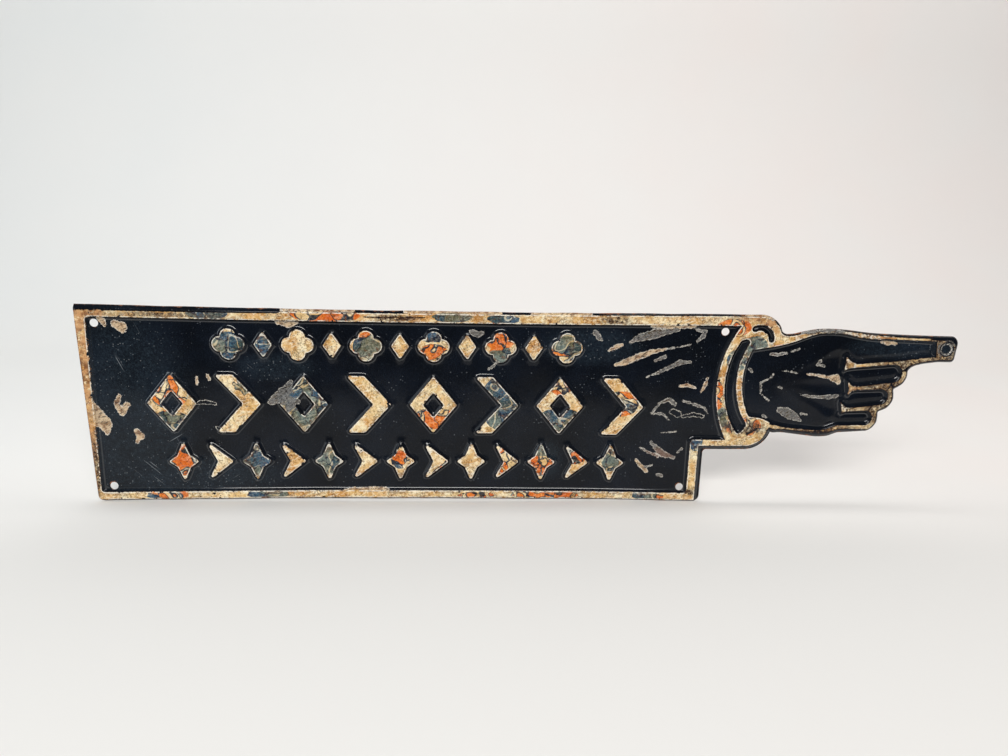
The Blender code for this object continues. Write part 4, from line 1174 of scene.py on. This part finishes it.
dusty = sheet_has.dusty
# Broad clouds from a deeper to a bluer black: the paint's own uneven tone, and partly a painted faint blue
# sheen.
black = bench.between(cloud.black, (5, 8, 15), (12, 18, 28))
# A pale bluish veil over the black: dust, and on the index finger a painted sheen.
dust_and_sheen_veil = bench.scaled(cloud.haze, 0.11, bench.times(bench.noise(place, *VEIL_CLOUD), 0.05))
grit = bench.times(cloud.grit, 0.12, bench.scaled(dusty, 0.7, 0.3))
black = bench.tinted(black, (96, 118, 134), bench.sum("ADD", bench.times(dust_and_sheen_veil, dusty), grit))
dust = bench.effect(specks, {"Place": place, "Per millimetre": DUST_PER_MILLIMETRE,
                             "Share": DUST_SHARE})
strength = bench.sum("MAXIMUM", bench.times(cloud.dust, 0.35), bench.times(dusty, 0.5))
dust = bench.times(dust, strength, 0.6)
scratch = bench.effect(hairlines, {"Place": place, "Amount": dusty})
pale = bench.sum("MAXIMUM", dust, bench.times(scratch, 0.6))
black = bench.tinted(black, (156, 162, 166), pale)
black = bench.tinted(black, (70, 46, 30), thinned, 0.75)
rust_colour, rust_mask = rust_on(bench, place, bench.scaled(sheet_has.cut, -0.25, 0.62))
base = bench.mix(rust_mask, bench.mix(off, black, under), rust_colour)

# %% [markdown]
# The flats of the old paint have gone rather dull, so the shader's specular level is low. In the
# folds at the foot of each wall the paint was never rubbed, and there it keeps its full gloss as
# a coat.

# %% Gloss and bump of the front
RUST_ROUGHNESS = 0.85
FILM, PEEL, TOOTH, SCRATCH = 0.08, 0.03, 0.05, 0.01

shader.inputs["Specular IOR Level"].default_value = 0.24
shader.inputs["Coat Roughness"].default_value = 0.06
in_fold = bench.times(bench.band(crest, -3.1, -2.8, -2.1, -1.7), bench.opposite(off))
smear = bench.noise(place, 0.05, 4, 0.6)
paint_gloss = bench.scaled(smear, 0.22, bench.scaled(cloud.haze, 0.1, 0.06))
under_gloss = bench.scaled(grain, 0.2, 0.36)
gloss = bench.node("Mix", {0: off, 2: paint_gloss, 3: under_gloss})
gloss = bench.node("Mix", {0: rust_mask, 2: gloss, 3: RUST_ROUGHNESS})
peel = bench.times(bench.noise(place, 0.35, 2, 0.5), PEEL)
film = bench.sum("ADD", bench.times(off, -FILM), peel)
relief = bench.sum("ADD", film, bench.times(grain, TOOTH, off))
relief = bench.scaled(scratch, -SCRATCH, relief)
bench.feed(shader, {"Base Color": base, "Coat Weight": in_fold, "Roughness": gloss,
                    "Metallic": bench.times(metal_here, 0.4), "Normal": bench.bump(relief)})

# %% [markdown]
# ## The back and the cut edge
#
# Nobody painted the back with care: it is bare tin that has dulled, with rust along the edges, in
# some of the folds and wherever damp stood behind the sign, and some of the black ran round the
# edges. The cut edge is the one place where the steel core shows.

# %% Back
BACK_CLOUDS = {"spangle": (0.05, 5, 0.65, 0.4, 0.7), "damp": (0.012, 4, 0.6, 0.42, 0.62)}
RUST_ANYWHERE, RUST_NEAR_CUT, RUST_IN_FOLD, RUST_IN_DAMP = 0.4, 0.34, 0.07, 0.22
OVERSPRAY_REACH, OVERSPRAY_SHAKE = 1.6, 9.0

rear_tin, bench, shader, place = new_material("aged_bare_tin")
sheet_has = bench.measures("crest", "cut")
cloud = bench.all_clouds(place, BACK_CLOUDS)
streak = bench.noise(bench.drawn_out(place, 3, 25, 2), 1, 4, 0.6)
tin = bench.between(streak, (118, 116, 112), (160, 158, 152))
tin = bench.tinted(tin, (98, 94, 88), cloud.spangle)
scratch = bench.effect(hairlines, {"Place": place, "Amount": 1.2})
tin = bench.tinted(tin, (196, 194, 188), scratch, 0.4)
fold = bench.step(bench.sum("ABSOLUTE", bench.sum("ADD", sheet_has.crest, 1.1)), 3.0, 0.6)
near_cut = bench.step(sheet_has.cut, 6, 0)
amount = bench.scaled(fold, RUST_IN_FOLD, bench.scaled(near_cut, RUST_NEAR_CUT, RUST_ANYWHERE))
amount = bench.scaled(cloud.damp, RUST_IN_DAMP, amount)
rust_colour, rust_mask = rust_on(bench, place, amount)
overspray = ragged(bench, bench.sum("SUBTRACT", OVERSPRAY_REACH, sheet_has.cut), place, OVERSPRAY_SHAKE)
base = bench.tinted(bench.mix(rust_mask, tin, rust_colour), (22, 24, 28), overspray)
covered = bench.sum("MAXIMUM", rust_mask, overspray)
rough = bench.node("Mix", {0: rust_mask, 2: bench.scaled(streak, 0.25, 0.33), 3: RUST_ROUGHNESS})
pits = bench.scaled(bench.noise(place, 1.1, 4, 0.7), 0.04, bench.times(rust_mask, 0.05))
bench.feed(shader, {"Base Color": base, "Metallic": bench.scaled(covered, -0.7, 0.7),
                    "Roughness": rough, "Normal": bench.bump(pits)})

# %% Cut edge
cut_steel, bench, shader, place = new_material("cut_steel_edge")
rust_colour, rust_mask = rust_on(bench, place, 0.7)
steel = bench.between(bench.noise(place, 0.6, 4, 0.6), (44, 42, 42), (98, 94, 90))
bench.feed(shader, {"Base Color": bench.mix(rust_mask, steel, rust_colour),
                    "Roughness": bench.scaled(rust_mask, 0.4, 0.45),
                    "Metallic": bench.scaled(rust_mask, -0.6, 0.6)})

for material in (painted, rear_tin, cut_steel):
    mesh.materials.append(material)
mesh.polygons.foreach_set("material_index", slots)
mesh.update()

# %% [markdown]
# ## The studio
#
# The sign stands upright on a pale paper sweep: a floor that curves up into a wall with no line
# between them. The sheet is a strip carried along that profile. It ends in front of the camera,
# so that the black upper half of the sign mirrors the dimmer room and only the lower half the
# pale paper, as on the real one.
#
# A large soft lamp stands in front and above. The rounded foot of each wall that faces up mirrors
# it as a thin bright line, while the wall itself mirrors the dark ceiling. A cool window at the
# left does the same for walls that face left, and a wide lamp high up keeps the backdrop pale.
# The paper carries a painted shade in front of the sign, which evens out the light on it, and a painted
# warm light that grows towards the right.

# %% Paper sweep
FLOOR_Z = EDGE_LOW / 1000
SWEEP_FRONT, SWEEP_TURN, SWEEP_RADIUS, SWEEP_TOP = -0.34, 0.55, 0.6, 2.0
SWEEP_WIDTH = 2.4
BEND_POINTS = 25


def sweep_profile():
    """Depth and height along the paper: a straight floor, a quarter circle, a straight wall."""
    bend = np.linspace(0, math.pi / 2, BEND_POINTS)
    depth = np.concatenate([[SWEEP_FRONT], SWEEP_TURN + SWEEP_RADIUS * np.sin(bend),
                            [SWEEP_TURN + SWEEP_RADIUS]])
    rise = np.concatenate([[0], SWEEP_RADIUS * (1 - np.cos(bend)), [SWEEP_TOP]])
    return depth, rise + FLOOR_Z


depth, rise = sweep_profile()
across = np.array([-SWEEP_WIDTH, SWEEP_WIDTH])
grid = np.stack(np.broadcast_arrays(across[:, None], depth, rise), axis=-1)
row = np.arange(len(depth) - 1)
quads = np.stack([row, row + len(depth), row + len(depth) + 1, row + 1], axis=1)
paper = bpy.data.meshes.new("paper_sweep")
paper.from_pydata(grid.reshape(-1, 3), [], quads.tolist())
paper.shade_smooth()
sweep = bpy.data.objects.new("paper_sweep", paper)
bpy.context.scene.collection.objects.link(sweep)

# %% Pale paper
pale_paper, bench, shader, place = new_material("pale_paper")
shader.inputs["Roughness"].default_value = 0.9
shader.inputs["Specular IOR Level"].default_value = 0.1
along = bench.node("SeparateXYZ", {0: place}, None)
# Painted warm light towards the right, and painted shade in front of the sign.
painted_warm_light = bench.step(along.outputs["X"], -900, 1000)
painted_shade_in_front = bench.step(along.outputs["Y"], 120, -120)
tone = bench.between(painted_warm_light, (232, 234, 233), (242, 232, 227))
tone = bench.tinted(tone, (238, 237, 234), bench.noise(place, 0.004, 2, 0.5))
tone = bench.tinted(tone, (218, 217, 214), painted_shade_in_front, 0.7)
bench.feed(shader, {"Base Color": tone})
paper.materials.append(pale_paper)
print("paper", len(paper.polygons), "strips")


# %% Lamps
def soft_lamp(name, place, target, size, power, tint=(1, 1, 1)):
    """A rectangular lamp that faces its target."""
    lamp = bpy.data.lights.new(name, "AREA")
    lamp.shape, lamp.size, lamp.size_y = "RECTANGLE", size[0], size[1]
    lamp.energy, lamp.color = power, tint
    holder = bpy.data.objects.new(name, lamp)
    away = np.array(place, float) - target
    away /= np.linalg.norm(away)
    side = np.cross((0, 1, 0) if abs(away[2]) > 0.95 else (0, 0, 1), away)
    side /= np.linalg.norm(side)
    turned = np.stack([side, np.cross(away, side), away], axis=1)
    holder.matrix_world = Matrix.Translation(place) @ Matrix(turned.tolist()).to_4x4()
    bpy.context.scene.collection.objects.link(holder)


soft_lamp("front_box", (0.0, -1.4, 1.0), (0.05, 0.2, 0), (1.3, 0.45), 24, (1.0, 0.985, 0.965))
soft_lamp("backdrop_wash", (0.4, 0.16, 1.85), (0.45, 0.9, 0.2), (3.6, 0.5), 25, (1.0, 0.995, 0.99))
soft_lamp("left_window", (-1.7, -0.75, 0.5), (0, 0, 0), (0.7, 1.2), 7, (0.86, 0.94, 1.0))
world = bpy.data.worlds.new("studio_air")
bpy.context.scene.world = world
world.use_nodes = True
air = world.node_tree.nodes["Background"]
air.inputs["Color"].default_value = (0.86, 0.93, 1.0, 1.0)
air.inputs["Strength"].default_value = 0.13

# %% [markdown]
# ## The camera
#
# Place, turn and lens come from the photograph: the four corners of the panel are a known
# rectangle, which fixes them all.

# %% Camera
LENS_MM, SENSOR_MM = 27.14, 36.0
CAMERA_PLACE = (0.0434, -0.5985, 0.13025)
CAMERA_AXES = ((0.998, -0.0581, 0.0241), (-0.01047, 0.2246, 0.9744), (-0.0621, -0.9727, 0.2236))
camera_data = bpy.data.cameras.new("camera")
camera_data.lens, camera_data.sensor_width = LENS_MM, SENSOR_MM
camera = bpy.data.objects.new("camera", camera_data)
camera.matrix_world = Matrix.Translation(CAMERA_PLACE) @ Matrix(CAMERA_AXES).transposed().to_4x4()
bpy.context.scene.collection.objects.link(camera)
bpy.context.scene.camera = camera
bpy.context.scene.view_settings.view_transform = "Standard"

# %% Update of the view layer
bpy.context.view_layer.update()
